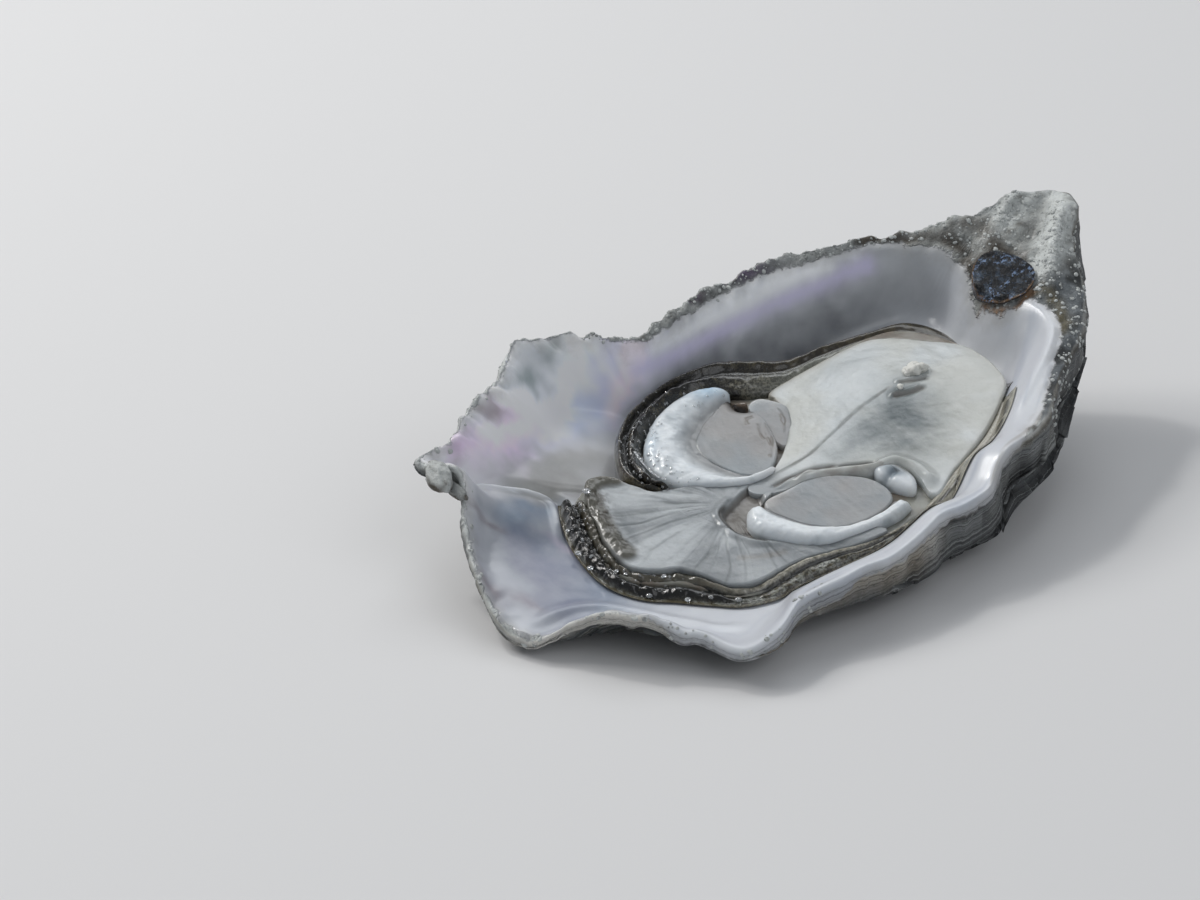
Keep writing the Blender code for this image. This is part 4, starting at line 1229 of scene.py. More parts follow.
beakForm = {
    "trough": (((50.2, -6.4), (47.7, -7.4), (45.7, -7.3), (43.6, -6.4)), -1.0, 1.5),
    "rightRidge": (((51.4, -8.8), (48.1, -10.4), (45.4, -11.6), (42.4, -12.6), (40.4, -14.0)), 0.7, 1.2),
    "leftRidge": (((50.4, -2.6), (47.4, -2.9), (45.0, -3.4), (43.2, -3.8)), 0.55, 0.8),
    "gap": (((40.6, 2.6), (41.2, -0.6), (39.9, -3.4), (37.4, -5.2)), -0.6, 0.6),
}
# where the porcelain ends at the hinge and on the right
porcelainEnd = ((30.0, 13.6), (34.5, 10.0), (37.6, 6.0), (39.2, 3.0), (39.8, 0.6), (39.6, -1.8),
                (38.3, -3.8), (36.5, -5.2), (35.6, -7.6), (35.2, -10.0), (36.0, -12.0), (37.6, -12.6),
                (37.1, -15.4), (35.5, -18.0), (32.7, -20.4), (28.7, -21.9), (25.7, -23.4), (22.6, -24.7),
                (19.0, -26.4), (14.0, -27.8))


# the valve as rows of points from the cup's middle over the rim to the umbo
def valveGrid():
    bearing = evenBearings(valve["columns"])
    ray = rays(bearing)
    far, thick = rim(bearing, reach), rim(bearing, edge)
    rounding = np.minimum(0.6, 0.35 * thick)
    rows = []
    for u in np.linspace(0.02, 1, relief["rowsInside"]):
        x, y = ray * (far - rounding) * (1 - (1 - u) ** 1.35)
        rows.append(at(x, y, inside(x, y)))
    top = rows[-1][:, 2]
    for turn in np.radians(relief["rounding"]):
        x, y = ray * (far - rounding * (1 - math.sin(turn)))
        rows.append(at(x, y, top - 0.35 * thick * (1 - math.cos(turn))))
    edgeX, edgeY = ray * far
    centreX, centreY = valve["umbo"]
    away = at(edgeX - centreX, edgeY - centreY)
    away = np.concatenate([away / np.linalg.norm(away, axis=1, keepdims=True),
                           np.full((len(bearing), 1), -valve["shelfDrop"])], 1)
    place = ringed(bearing)
    base, proud = [], []
    for out in 1 - np.linspace(0.01, 1, relief["rowsOutside"]) ** 1.8 * (1 - valve["innermost"]):
        x, y = centreX + (edgeX - centreX) * out, centreY + (edgeY - centreY) * out
        base.append(at(x, y, outside(x, y, bearing, out)))
        wander = 0.010 * bumps(place / 6, 31) + 0.003 * bumps(place / 1.8, 32)
        proud.append(shelf(np.full_like(x, out) + wander * min(1.0, (1 - out) * 12)))
    base, proud = np.array(base), np.array(proud)
    level = np.abs(gridNormals(base)[..., 2:])
    slanting = np.sqrt(1 - level ** 2)
    push = np.concatenate([slanting, slanting, level], -1)
    most = max(station[edge] for station in rimStations)
    proud = proud * (thick / most) ** 1.5
    return bearing, np.concatenate([np.array(rows), base + away * push * proud[..., None]])


# plan distance from the points to the outline
def planDepth(x, y):
    bearing = np.linspace(0, 360, 720, endpoint=False)
    edgeX, edgeY = rim(bearing, reach) * rays(bearing)
    rows = [np.hypot(one[:, None] - edgeX, two[:, None] - edgeY).min(1) for one, two in zip(x, y)]
    return np.array(rows)


# how squarely a bearing's ray meets the edge of the porcelain
def squareness(bearing):
    low, here, high = (rim(bearing + turn, reach) - rim(bearing + turn, band) for turn in (-0.5, 0, 0.5))
    return 1 / np.sqrt(1 + ((high - low) / math.radians(1) / here) ** 2)


# how far the points lie inwards from the porcelain's edge, and how far beyond it
def pearlEdge(bearing, x, y):
    start, end, over = relief["pearlOver"]
    over = over * (1 + 1.5 * shareBetween(bearing, 192, 232, 8))
    late = (rim(bearing, band) + over) * shareBetween(bearing, start, end, 12)
    inward = (rim(bearing, reach) - rim(bearing, band) - np.hypot(x, y)) * squareness(bearing)
    return inward, mixed(-inward - late, -sideOf(x, y, porcelainEnd), shareBetween(bearing, 306, 372, 8))


# the rows of the cup evened out, so that no step shows where its parts meet
def evened(grid, inner):
    level = grid[..., 2].copy()
    for _ in range(14):
        level = (np.roll(level, 1, 1) + level + np.roll(level, -1, 1)) / 3
    for _ in range(3):
        level[1:rimRow - 1] = (level[:rimRow - 2] + level[1:rimRow - 1] + level[2:rimRow]) / 3
    return at(*plan(grid), mixed(grid[..., 2], level, inner))


# the rim's small waves, which fade within a few mm of it
def wavy(grid, bearing, outer, fromRim):
    outwards, upwards = wobble(bearing)
    below = np.maximum(grid[rimRow - 1, :, 2] - grid[..., 2], 0)
    sway = bell(np.where(outer > 0, np.hypot(fromRim, below), fromRim) / 2.2)
    ray = rays(bearing)
    return grid + at(ray[0] * outwards * sway, ray[1] * outwards * sway, upwards * sway)


# the flutes of the back left edge: how much each point rises, and the flutes alone
def ruffles(grid, x, bearing, outer, fromRim):
    far, wide, deep = relief["ruffle"]
    scallop = shareBetween(bearing, 94, 156, 8) + 0.4 * shareBetween(bearing, 156, 205, 8)
    along = at(bearing / 7.0 + 0 * x, fromRim * 0.10, 0 * x)
    flute = bumps(along * wide, 50) + 0.5 * bumps(along * wide * 2.3, 52)
    ruffle = far * scallop * (flute + 0.4 * bumps(grid * (1, 1, 0) / 1.6, 51))
    ruffle = ruffle * smooth(1 - fromRim / deep) ** 1.3
    flute = flute * scallop * smooth(1 - fromRim / deep)
    return np.where(outer > 0, ruffle * smooth(1 - fromRim / 6), ruffle), flute


# the ridges and creases of the cup's surface and of the beak, as heights
def creasing(x, y, bearing, inward):
    lift = 0 * x
    for stops, high, half, lower in creases.values():
        away, way, side = meetLine(x, y, stops)
        near = smooth((2.6 - away) / 2.0) * smooth(1 - side / 0.5) * smooth(away / 0.8)
        lift = lift + faded(way, 6, 5) * high * bell(away / half) - faded(way, 6, 5) * lower * near
    for stops, high, half in beakForm.values():
        lift = lift + high * bell(nearLine(x, y, stops)[0] / half)
    roll = shareBetween(bearing, 290, 338, 12) * bell((inward - rim(bearing, lip)) / 0.9)
    return lift + 0.35 * roll - 0.9 * spot(x, y, np.mean(outlines["ligament"], axis=0), (3.0, 4.0))


# the growth layers of the outer wall: their height, their phase and their fine strata
def layering(v):
    place, travel = v["place"], v["travel"]
    far, long, thick = relief["strata"]
    strata = rough(place / long + upright(travel / thick), 1, 62, 3, 0.6)
    wander = 0.9 * bumps(place / 7 + upright(travel / 6), 60) + 0.2 * bumps(place / 3.2, 61)
    phase = travel / (relief["layer"][1] * (1 + 0.06 * travel)) + wander
    tooth = 1 - (phase - np.floor(phase))
    started = smooth(travel) * v["outer"] * (0.45 + 0.55 * v["front"])
    return started * (relief["layer"][0] * (tooth ** 1.5 - 0.5) + far * strata), tooth, strata


# grit, lumps, pits and ripples, as heights along the normals
def roughness(grid, x, y, v):
    outer, crust, thin, front, place = v["outer"], v["crust"], v["thin"], v["front"], v["place"]
    far, wide = relief["grit"]
    grit = far * rough(grid, wide * 1.4, 70, 2) * crust * (1 - outer) * (1 - 0.6 * thin)
    grit = grit * (1 - 0.6 * spot(x, y, (46.5, -6.4), (3.6, 1.8), -35))
    far, wide = relief["lumps"]
    long = rough(place / 9 + upright(v["travel"] / 1.5), 1, 82, 3, 0.55)
    lumps = far * mixed(rough(grid, wide, 80, 3, 0.5), 1.1 * long, 0.95 * front) * outer
    lumps = lumps * smooth(v["travel"] / 2) * (1 - 0.5 * thin * smooth(1 - v["travel"] / 8))
    far, wide = relief["pits"]
    pits = far * rough(grid, 1.4 * wide, 90, 2) * crust * (1 - 0.8 * front * outer)
    far, wide = relief["ripple"]
    ripple = far * bumps(place / 9 + upright(v["fromRim"] / wide), 95)
    return grit + lumps + pits + ripple * (1 - crust)


# the same rows worked over, with what each point is coloured by
def workedValve():
    bearing, grid = valveGrid()
    x, y = plan(grid)
    brink = relief["rowsInside"]
    outer = np.zeros(grid.shape[:2])
    outer[rimRow:] = 1
    fromRim = planDepth(x, y)
    inward, beyond = pearlEdge(bearing, x, y)
    grid = evened(grid, (1 - outer) * smooth(fromRim / 2.5))
    grid = wavy(grid, bearing, outer, fromRim)
    lift, flute = ruffles(grid, x, bearing, outer, fromRim)
    lift = lift + (1 - outer) * creasing(x, y, bearing, inward)
    grid = grid + upright(lift)

    travel = 0 * outer
    travel[brink:] = np.cumsum(np.linalg.norm(np.diff(grid[brink - 1:], axis=0), axis=-1), axis=0)
    beyond[brink:] = beyond[brink - 1] + travel[brink:]
    place = ringed(bearing + 0 * x)
    v = {"bearing": bearing + 0 * x, "outer": outer, "fromRim": fromRim, "flute": flute, "travel": travel,
         "beyond": beyond, "place": place, "crust": smooth(beyond / 1.2 + 0.5),
         "thin": shareBetween(bearing, 96, 205, 10), "front": shareBetween(bearing, 222, 352, 14),
         "skew": 0.5 * np.abs(bumps(place / 3.5, 45)) * outer}
    layer, v["tooth"], v["strata"] = layering(v)
    normal = gridNormals(grid)
    normal *= np.sign((normal[2, :, 2]).sum())
    v["grid"] = grid + normal * (roughness(grid, x, y, v) + layer)[..., None]
    return v


# the nacre's colours, and its stains, with painted shade and painted light among them: colour, then each
# one's place, reach, turn and strength
nacre = {
    "pearl": screen(204, 208, 212),
    "chalky": screen(234, 238, 238),
    "fluteShade": screen(132, 142, 142),
    "stripe": screen(150, 146, 136),
    "line": screen(140, 152, 168),
    "cloud": screen(236, 238, 240),
    "yellowed": screen(140, 134, 120),
    "sheen": screen(190, 186, 214),
    "stainsAndPaintedLight": (
        # painted shade on the back wall and by the hinge
        (screen(112, 116, 122),
         (((24.0, 9.5), (13.0, 3.4), -22, 0.85), ((8.0, 15.0), (9.0, 2.8), -14, 0.7),
          ((38.0, 0.0), (3.0, 3.5), 0, 0.4), ((33.0, -12.0), (4.0, 4.0), 0, 0.35))),
        # painted light on the upper lobes, and a painted highlight along the back lip's sheen
        (screen(250, 251, 253),
         (((-20.0, 23.0), (13.0, 6.0), 8, 1.1), ((-33.0, 22.0), (6.0, 5.0), 40, 1.0),
          ((2.0, 21.0), (8.0, 1.6), -14, 0.7), ((20.0, 16.6), (9.0, 1.2), -20, 0.7))),
        (screen(140, 141, 140), (((-20.6, 15.6), (8.0, 3.4), -10, 0.9),)),
        # the lower left lobe's blue-grey, partly painted shade
        (screen(84, 98, 120),
         (((-31.0, 9.0), (6.0, 7.0), 10, 0.95), ((-37.0, 2.0), (8.0, 7.0), -40, 0.75),
          ((-27.5, 14.0), (3.0, 2.0), -20, 0.7))),
        (screen(178, 178, 172), (((-20.6, 17.7), (9, 4), -15, 0.8), ((-12, 18.5), (6, 3), 0, 0.5))),
        (screen(182, 180, 210),
         (((-4.0, 22.3), (8, 3), -10, 0.85), ((-16, 22), (7, 3), 0, 0.35),
          ((-32.5, 8.5), (3, 5), 0, 0.5), ((-36, 5), (5, 6), 0, 0.3))),
        (screen(226, 204, 232),
         (((-28.8, 24.2), (3.0, 1.4), 10, 0.9), ((-24.1, 22.6), (4.2, 2.2), 0, 1.1),
          ((-19.0, 24.1), (2.6, 1.5), 20, 0.6), ((-29.0, 7.6), (0.7, 2.6), 0, 0.8),
          ((-3.0, 19.8), (4, 1.0), 0, 0.7))),
        (screen(136, 156, 176),
         (((-8.5, 21.2), (4, 2.6), 0, 0.6), ((-27.4, 14.2), (3.4, 1.8), -20, 0.95),
          ((-30, 12), (4, 6), 0, 0.45), ((-33, 1), (4, 7), 0, 0.5))),
        (screen(112, 130, 128),
         (((-12.8, 27.0), (2.2, 1.4), 0, 1.0), ((-7.1, 27.6), (2.2, 1.4), 0, 0.8),
          ((-17.0, 26.8), (1.4, 1.0), 0, 0.5))),
        (screen(122, 106, 112),
         (((-20.4, 25.6), (3.2, 1.0), -30, 0.8), ((-33.9, 16.2), (0.6, 2.6), 12, 0.85),
          ((-42.6, 9.0), (1.0, 3.2), -20, 0.75), ((-41.2, 5.6), (1.2, 2.0), -10, 0.6),
          ((-30.5, 23.0), (1.0, 0.6), 0, 0.5))),
        (screen(226, 230, 230), (((-5.6, 25.4), (3.4, 1.6), 0, 0.9), ((-10, 24.4), (3, 1.2), 0, 0.6))),
    ),
    # painted light (positive) and painted shade (negative): parts made paler or darker
    "paintedLightAndShade": (((-7.0, 21.6), (11, 4.6), -8, 0.68), ((-22, 23.4), (7, 3.0), 8, 0.4),
              ((-32, 9), (7.5, 9), 10, -0.46), ((-19, 16.6), (9, 4.4), -10, -0.33),
              ((19, 15), (9, 2.6), -24, 0.2), ((39, 0.3), (3, 2.4), 0, 0.2),
              ((25, 9), (12, 3.6), -22, -0.16), ((-40, 2), (6, 6), 0, -0.15)),
    # lines on the nacre: colour, half width, strength, stops. The lilac streak, then a painted highlight
    # along the white sheen above it and one along the crest
    "lines": (
        (screen(214, 208, 240), 1.3, 0.85, ((0.0, 19.4, -2.9), (3.9, 18.1, -3.3), (10.4, 16.9, -3.7),
                                             (18.0, 14.6, -3.6), (26.3, 11.7, -3.3), (33.1, 8.2, -2.5))),
        (screen(250, 252, 254), 1.1, 0.85, ((3.0, 19.6, -1.6), (10.4, 17.9, -2.1), (17.5, 15.9, -2.1),
                                           (24.2, 13.9, -1.9), (29.0, 11.4, -1.7))),
        (screen(228, 232, 236), 0.4, 0.8, ((-33.5, 21.6, 1.5), (-29.6, 20.4, -1.2), (-27.2, 18.3, -2.5),
                                           (-25.0, 16.6, -3.6), (-24.1, 14.2, -4.6), (-26.3, 11.6, -5.0))),
    ),
}
crustColours = {
    "chalk": screen(206, 210, 208),
    "ash": screen(158, 162, 160),
    "slate": screen(98, 104, 108),
    "dark": screen(44, 47, 48),
    "olive": screen(110, 103, 80),
    "umber": screen(70, 60, 46),
    "plum": screen(86, 78, 96),
    "rust": screen(150, 118, 90),
    "hinge": screen(128, 130, 128),
    "lip": screen(214, 212, 206),
    "lipStripe": screen(146, 134, 114),
    # painted shade in the grit's pits and the growth lines' grooves, and a painted highlight, partly pale
    # wear, on the lines' ridges
    "poreShade": screen(58, 58, 54),
    "creviceShade": screen(44, 46, 46),
    "wornHighlight": screen(196, 200, 200),
    "dust": screen(228, 230, 228),
}
# spots on the crust: colour, then each one's place, reach, turn and strength
crustSpots = (
    (crustColours["plum"], (((19.5, 18.8), (4.6, 1.4), -40, 1.2), ((12, 20.6), (1.6, 0.9), -40, 1.2))),
    (crustColours["hinge"], (((46.8, -7.0), (4.0, 1.2), 15, 1.0),)),
)
# stains and chalky ridges of the crust inside the outline: colour, half width, strength, stops
crustLines = (
    (crustColours["chalk"] * 1.12, 1.9, 0.95,
     ((40.4, -13.4), (42.0, -12.0), (44.4, -11.4), (48.1, -10.2), (51.0, -8.4), (52.0, -5.6))),
    (crustColours["chalk"], 0.7, 0.8, ((45.0, -3.6), (48.3, -2.4), (50.4, -2.2), (52.0, -4.2))),
    # a dark brown line beyond the tongue: painted shade over a brown stain
    (crustColours["umber"] * 0.8, 1.1, 0.9,
     ((33.0, 11.4), (36.4, 8.4), (39.3, 4.4), (40.9, 1.8), (41.2, -1.0), (39.8, -3.4), (37.4, -4.8),
      (36.0, -6.8))),
    (crustColours["umber"], 1.3, 0.7, ((42.6, 1.6), (44.2, -1.2), (43.3, -3.2), (43.0, -5.2), (42.9, -8.0))),
    (crustColours["umber"] * 0.7, 0.6, 0.9, ((42.0, -3.6), (42.8, -5.6), (43.0, -8.0), (42.0, -9.8))),
    (crustColours["olive"] * 0.8, 0.9, 0.9,
     ((39.0, -12.2), (39.2, -14.0), (38.3, -16.2), (36.4, -18.2), (33.0, -20.4))),
    (crustColours["rust"], 0.5, 0.95,
     ((36.2, -6.6), (35.5, -8.4), (35.4, -10.2), (35.8, -11.9), (37.6, -12.4), (39.6, -12.0))),
)
# colours of the front wall, by how far below the rim
wallBands = (
    (0.0, screen(204, 206, 206)), (0.5, screen(168, 166, 158)), (0.9, screen(104, 99, 88)),
    (1.3, screen(58, 57, 54)), (1.7, screen(112, 116, 118)), (2.4, screen(146, 150, 152)),
    (3.0, screen(100, 99, 94)), (3.5, screen(56, 58, 60)), (4.2, screen(112, 116, 120)),
    (5.0, screen(90, 92, 92)), (5.8, screen(52, 54, 56)), (7.0, screen(98, 102, 104)),
    (9.0, screen(66, 68, 70)), (13.0, screen(80, 82, 82)), (30.0, screen(92, 94, 94)),
)


# the porcelain: stains, chalky flutes with painted shade in their hollows, growth lines, painted light and
# shade over broad parts, and painted highlights along the sheen and the crest
def nacreTint(v):
    grid, travel = v["grid"], v["travel"]
    bentX, bentY = (way + 1.3 * rough(grid, 3.2, seed) for way, seed in zip(plan(grid), (112, 113)))
    tint = np.ones(grid.shape) * nacre["pearl"]
    blot = 0.9 + 0.35 * rough(grid, 4, 110)
    for colour, places in nacre["stainsAndPaintedLight"]:
        tint = spotted(tint, bentX, bentY, colour, places, blot)
    chalked = smooth(1.1 - v["fromRim"] / 4.5)
    # chalk on the flute crests, and painted shade in their hollows
    tint = painted(tint, nacre["chalky"], 0.5 * smooth(v["flute"] * 1.3) * chalked)
    tint = painted(tint, nacre["fluteShade"], 0.35 * smooth(-v["flute"] * 1.3) * chalked)
    nearEdge = smooth((v["front"] - 0.3) / 0.4) * smooth(1.25 - v["fromRim"] / 2.2)
    stripes = bumps(v["place"] / 9 + upright(v["fromRim"] * 2.6 + travel * 2.2), 116)
    tint = painted(tint, nacre["stripe"], 0.7 * nearEdge * smooth(0.1 + stripes * 1.4))
    lines = bumps(v["place"] / 9 + upright(v["fromRim"] * 1.5), 111) * (0.35 + 0.65 * v["front"])
    tint = painted(tint, nacre["line"], 0.4 * smooth(lines * 1.3) * smooth(1.4 - v["fromRim"] / 10))
    # painted light and shade over broad parts
    paintedLighting = 1 + sum(more * spot(bentX, bentY, *where) for *where, more in nacre["paintedLightAndShade"])
    tint = np.minimum(tint * paintedLighting[..., None], 0.93)
    for colour, half, strength, stops in nacre["lines"]:
        away = nearPath(grid, stops) + 0.25 * rough(grid, 1.5, 114)
        tint = painted(tint, colour, strength * bell(away / half) * (1 - v["outer"]))
    return tint


# the crust on the rim and at the beak
def bandTint(v, grain):
    x, y = plan(v["grid"])
    tint = painted(crustColours["ash"], crustColours["chalk"], smooth(0.62 + 0.9 * grain))
    tint = painted(tint, crustColours["umber"], 0.7 * smooth(-0.15 - grain) * (1 - v["thin"]))
    pale = painted(crustColours["ash"] * 1.2, crustColours["chalk"], smooth(0.6 + grain))
    tint = painted(tint, pale * 1.1, 0.9 * v["thin"])
    tint = tint * (1 - 0.42 * shareBetween(v["bearing"], 10, 96))[..., None]
    # dark slate crust on the right by the hinge, partly painted shade
    agedAndShaded = painted(crustColours["dark"], crustColours["slate"], smooth(0.5 + grain))
    tint = painted(tint, agedAndShaded, 0.95 * shareBetween(v["bearing"], 304, 344, 8))
    tint = drawn(tint, x, y, crustLines, 0.45)
    for colour, places in crustSpots:
        tint = spotted(tint, x, y, colour, places)
    return tint


# the outer wall, banded at the front and old elsewhere, with painted shade under its layers' edges and by
# the hinge, and painted highlights on the edges
def wallTint(v, grain):
    strata, travel = v["strata"], v["travel"]
    depth = travel + 0.6 * bumps(v["place"] / 8, 121) + 0.3 * strata + 0.1 * grain
    depth = np.maximum(depth, 0.2) + v["skew"]
    stops, colours = zip(*wallBands)
    bands = np.stack([np.interp(depth, stops, shade) for shade in np.transpose(colours)], -1)
    old = painted(crustColours["slate"], crustColours["ash"], smooth(0.35 + 0.9 * strata + 0.4 * grain))
    old = painted(old, crustColours["chalk"], 0.8 * smooth(1.2 - travel / 1.2))
    old = painted(old, crustColours["olive"], 0.5 * smooth(0.3 + strata - 0.6 * grain))
    even = shareBetween(v["bearing"], 208, 344, 16)
    tint = painted(old, bands, 0.15 + 0.8 * even * smooth(2 - travel / 9))
    lipShare = shareBetween(v["bearing"], 176, 262, 9)
    tint = painted(tint, crustColours["lip"], 0.92 * lipShare * smooth(1.7 - travel / 2.6))
    stripe = bell((travel + 0.5 * strata - 2.4) / 1.1) * shareBetween(v["bearing"], 212, 256, 9)
    tint = painted(tint, crustColours["lipStripe"], 0.75 * stripe)
    # painted shade on the outer wall by the hinge
    tint = tint * (1 - 0.45 * shareBetween(v["bearing"], 318, 356, 9))[..., None]
    # painted shade in the crevice under each layer's edge, and a painted highlight on the proud edges, which
    # are also pale flakes
    older = smooth((travel - 1.5 - 3 * lipShare) / 2.0)
    tint = painted(tint, crustColours["dark"], 0.85 * smooth((0.3 - v["tooth"]) / 0.25) * older)
    edges = smooth((v["tooth"] - 0.84) / 0.1) * smooth(0.5 + strata) * older
    return painted(tint, crustColours["ash"], 0.75 * edges)


# distance from the points to a path in space
def nearPath(points, stops):
    line = curve(stops, 40, False)
    away = np.full(points.shape[:-1], 1e9)
    for one, two in zip(line, line[1:]):
        way = two - one
        share = np.clip(((points - one) @ way) / (way @ way), 0, 1)
        away = np.minimum(away, np.linalg.norm(points - one - share[..., None] * way, axis=-1))
    return away


def valveFinish():
    finish = Finish("nacreAndCrust")
    tint, crustTint = finish.attribute("tint", "Color"), finish.attribute("crustTint", "Color")
    beyond, travel, grit = finish.attribute("beyond"), finish.attribute("travel"), finish.attribute("grit")
    beyond = beyond + (finish.noise(1.6, 4, 0.62) - 0.5) * 2.2
    crust = finish.between(beyond, -0.15, 0.3)
    cloud = finish.noise(3.0, 4, 0.55)
    fine = finish.noise(0.3, 4, 0.65)
    gritty = finish.noise(0.8, 5, 0.7)
    lines = finish.node("ShaderNodeTexNoise", {"noise_dimensions": "1D"},
                        {"W": travel * 2.6 + gritty * 1.6, "Scale": 1.0, "Detail": 3.0, "Roughness": 0.7})
    outer = finish.between(travel, 0.3, 1.4)
    colour = finish.blend((cloud - 0.35) * 0.3, tint, nacre["cloud"])
    colour = finish.blend(finish.between(beyond, -1.6, 0.1) * 0.3, colour, nacre["yellowed"])
    colour = finish.blend(crust, colour, crustTint)
    # painted shade where the grit and the growth lines lie low, and a painted highlight where the lines
    # stand up
    colour = finish.blend(finish.between(gritty, 0.5, 0.32) * grit * 0.45, colour, crustColours["poreShade"])
    colour = finish.blend(finish.between(lines, 0.52, 0.36) * outer * 0.7, colour, crustColours["creviceShade"])
    colour = finish.blend(finish.between(lines, 0.58, 0.72) * outer * 0.4, colour, crustColours["wornHighlight"])
    colour = finish.blend(finish.between(fine, 0.6, 0.75) * crust * 0.35, colour, crustColours["dust"])
    height = gritty * crust * 1.3 + fine * crust * 0.5 + cloud * 0.12 + lines * outer * 1.4
    rainbow = finish.node("ShaderNodeLayerWeight", {}, {"Blend": 0.35}, "Facing")
    colour = finish.blend(rainbow * (1.0 - crust) * 0.16, colour, nacre["sheen"])
    finish.set(Base_Color=colour, Roughness=0.3 + crust * 0.42 + fine * 0.1, Coat_Weight=0.4 - crust * 0.25,
               Coat_Roughness=0.2, Subsurface_Weight=0.12, Subsurface_Radius=(0.6, 0.6, 0.7),
               Subsurface_Scale=0.002, IOR=1.5, Normal=finish.bump(height, 0.3))
    return finish.material


# where grains sit: on the back rim, and thinner on the left edge, the right edge and the beak's ridges
def grainMask(v):
    x, y = plan(v["grid"])
    upper, crust = 1 - v["outer"], v["crust"]
    edgeBand = bell(v["fromRim"] / 0.9) * upper + 0.4 * bell(v["travel"] / 0.6) * v["outer"]
    backEdge = shareBetween(v["bearing"], 6, 100)
    leftEdge = shareBetween(v["bearing"], 110, 226, 8)
    grains = edgeBand * (backEdge + 0.35 * leftEdge) + 0.5 * backEdge * crust * upper
    grains = grains + 0.5 * shareBetween(v["bearing"], 308, 366, 4) * crust * upper
    for key in ("rightRidge", "leftRidge"):
        grains = grains + 1.6 * bell(nearLine(x, y, beakForm[key][0])[0] / 0.9) * upper
    return grains * (1 - spot(x, y, (47.0, -6.4), (3.2, 1.2), -35)) * (x > -47.5) * (x < 51.5)


def makeValve():
    v = workedValve()
    grain = rough(v["grid"], 1.8, 120, 3, 0.6)
    crustTint = painted(bandTint(v, grain), wallTint(v, grain), smooth(v["travel"] / 0.4))
    finish = valveFinish()
    piece = lofted("shell_worked", v["grid"], finish, {
        "tint": nacreTint(v), "crustTint": crustTint, "beyond": v["beyond"], "travel": v["travel"],
        "grit": v["crust"] * (1 - 0.75 * v["thin"]), "grains": grainMask(v)})
    return settle(piece, "shell"), finish


# small round grains: on every point of the source, or scattered over its faces
def grainGrowth(scattered):
    growth = Growth("grains", {"Source": "Object", "Mask": "String", "Density": "Float", "Smallest": "Float",
                               "Largest": "Float", "Flatness": "Float", "Length": "Float", "Seed": "Int",
                               "Finish": "Material"})
    source = growth.node("GeometryNodeObjectInfo", {}, {"Object": growth.given("Source")}, "Geometry")
    mask = growth.node("GeometryNodeInputNamedAttribute", {"data_type": "FLOAT"},
                       {"Name": growth.given("Mask")}, "Attribute")
    low, high, seed = growth.given("Smallest"), growth.given("Largest"), growth.given("Seed")
    grain = growth.node("GeometryNodeMeshIcoSphere", {}, {"Radius": 1.0, "Subdivisions": 2})
    settings = {"Points": source, "Instance": growth.node("GeometryNodeSetShadeSmooth", {}, [grain])}
    size = mask
    if scattered:
        points = growth.node("GeometryNodeDistributePointsOnFaces", {},
                             {"Mesh": source, "Density": growth.given("Density") * mask, "Seed": seed})
        turn = Value(growth, points.socket.node.outputs["Rotation"])
        spin = growth.node("ShaderNodeCombineXYZ", {}, {"Z": growth.random(-3.14, 3.14, seed + 5)})
        turn = growth.node("FunctionNodeRotateRotation", {"rotation_space": "LOCAL"}, [turn, spin])
        size = low + (high - low) * growth.random(0.0, 1.0, seed) ** 2.0
        settings.update({"Points": points, "Rotation": turn})
    settings["Scale"] = growth.node("ShaderNodeCombineXYZ", {}, {
        "X": size * growth.given("Length"), "Y": size, "Z": size * growth.given("Flatness")})
    return growth.close(growth.node("GeometryNodeInstanceOnPoints", {}, settings))


def scatterGrains(name, source, mask, finish, density, sizes, flatness, length, seed):
    small, large = sizes
    given = {"Source": source, "Mask": mask, "Density": density * 1e6, "Smallest": small * mm,
             "Largest": large * mm, "Flatness": flatness, "Length": length, "Seed": seed, "Finish": finish}
    return settle(grainGrowth(True).grown(name, given), None)


# a lumpy closed pebble, of one colour on top and another below
def pebble(name, place, radii, turn, finish, lumps, seed, top, under, slot):
    tilt = np.linspace(0.12, math.pi - 0.12, 22)[:, None]
    around = np.linspace(0, 2 * math.pi, 40, endpoint=False)
    ball = at(np.sin(tilt) * np.cos(around), np.sin(tilt) * np.sin(around), np.cos(tilt) + 0 * around)
    shape = ball * (1 + lumps * rough(ball, 0.9, seed))[..., None] * radii
    grid = shape @ np.array(Matrix.Rotation(math.radians(turn), 3, "Z")).T + place
    upward = smooth(0.5 + 0.9 * ball[..., 2] + 0.6 * rough(ball, 0.5, seed + 3))
    tint = painted(np.ones(grid.shape) * under, top, upward)
    none = np.zeros(grid.shape[:2])
    piece = lofted(name, grid, finish, {"tint": tint, "crustTint": tint, "beyond": none + 9, "travel": none,
                                        "grit": none + 0.8})
    return settle(piece, None)


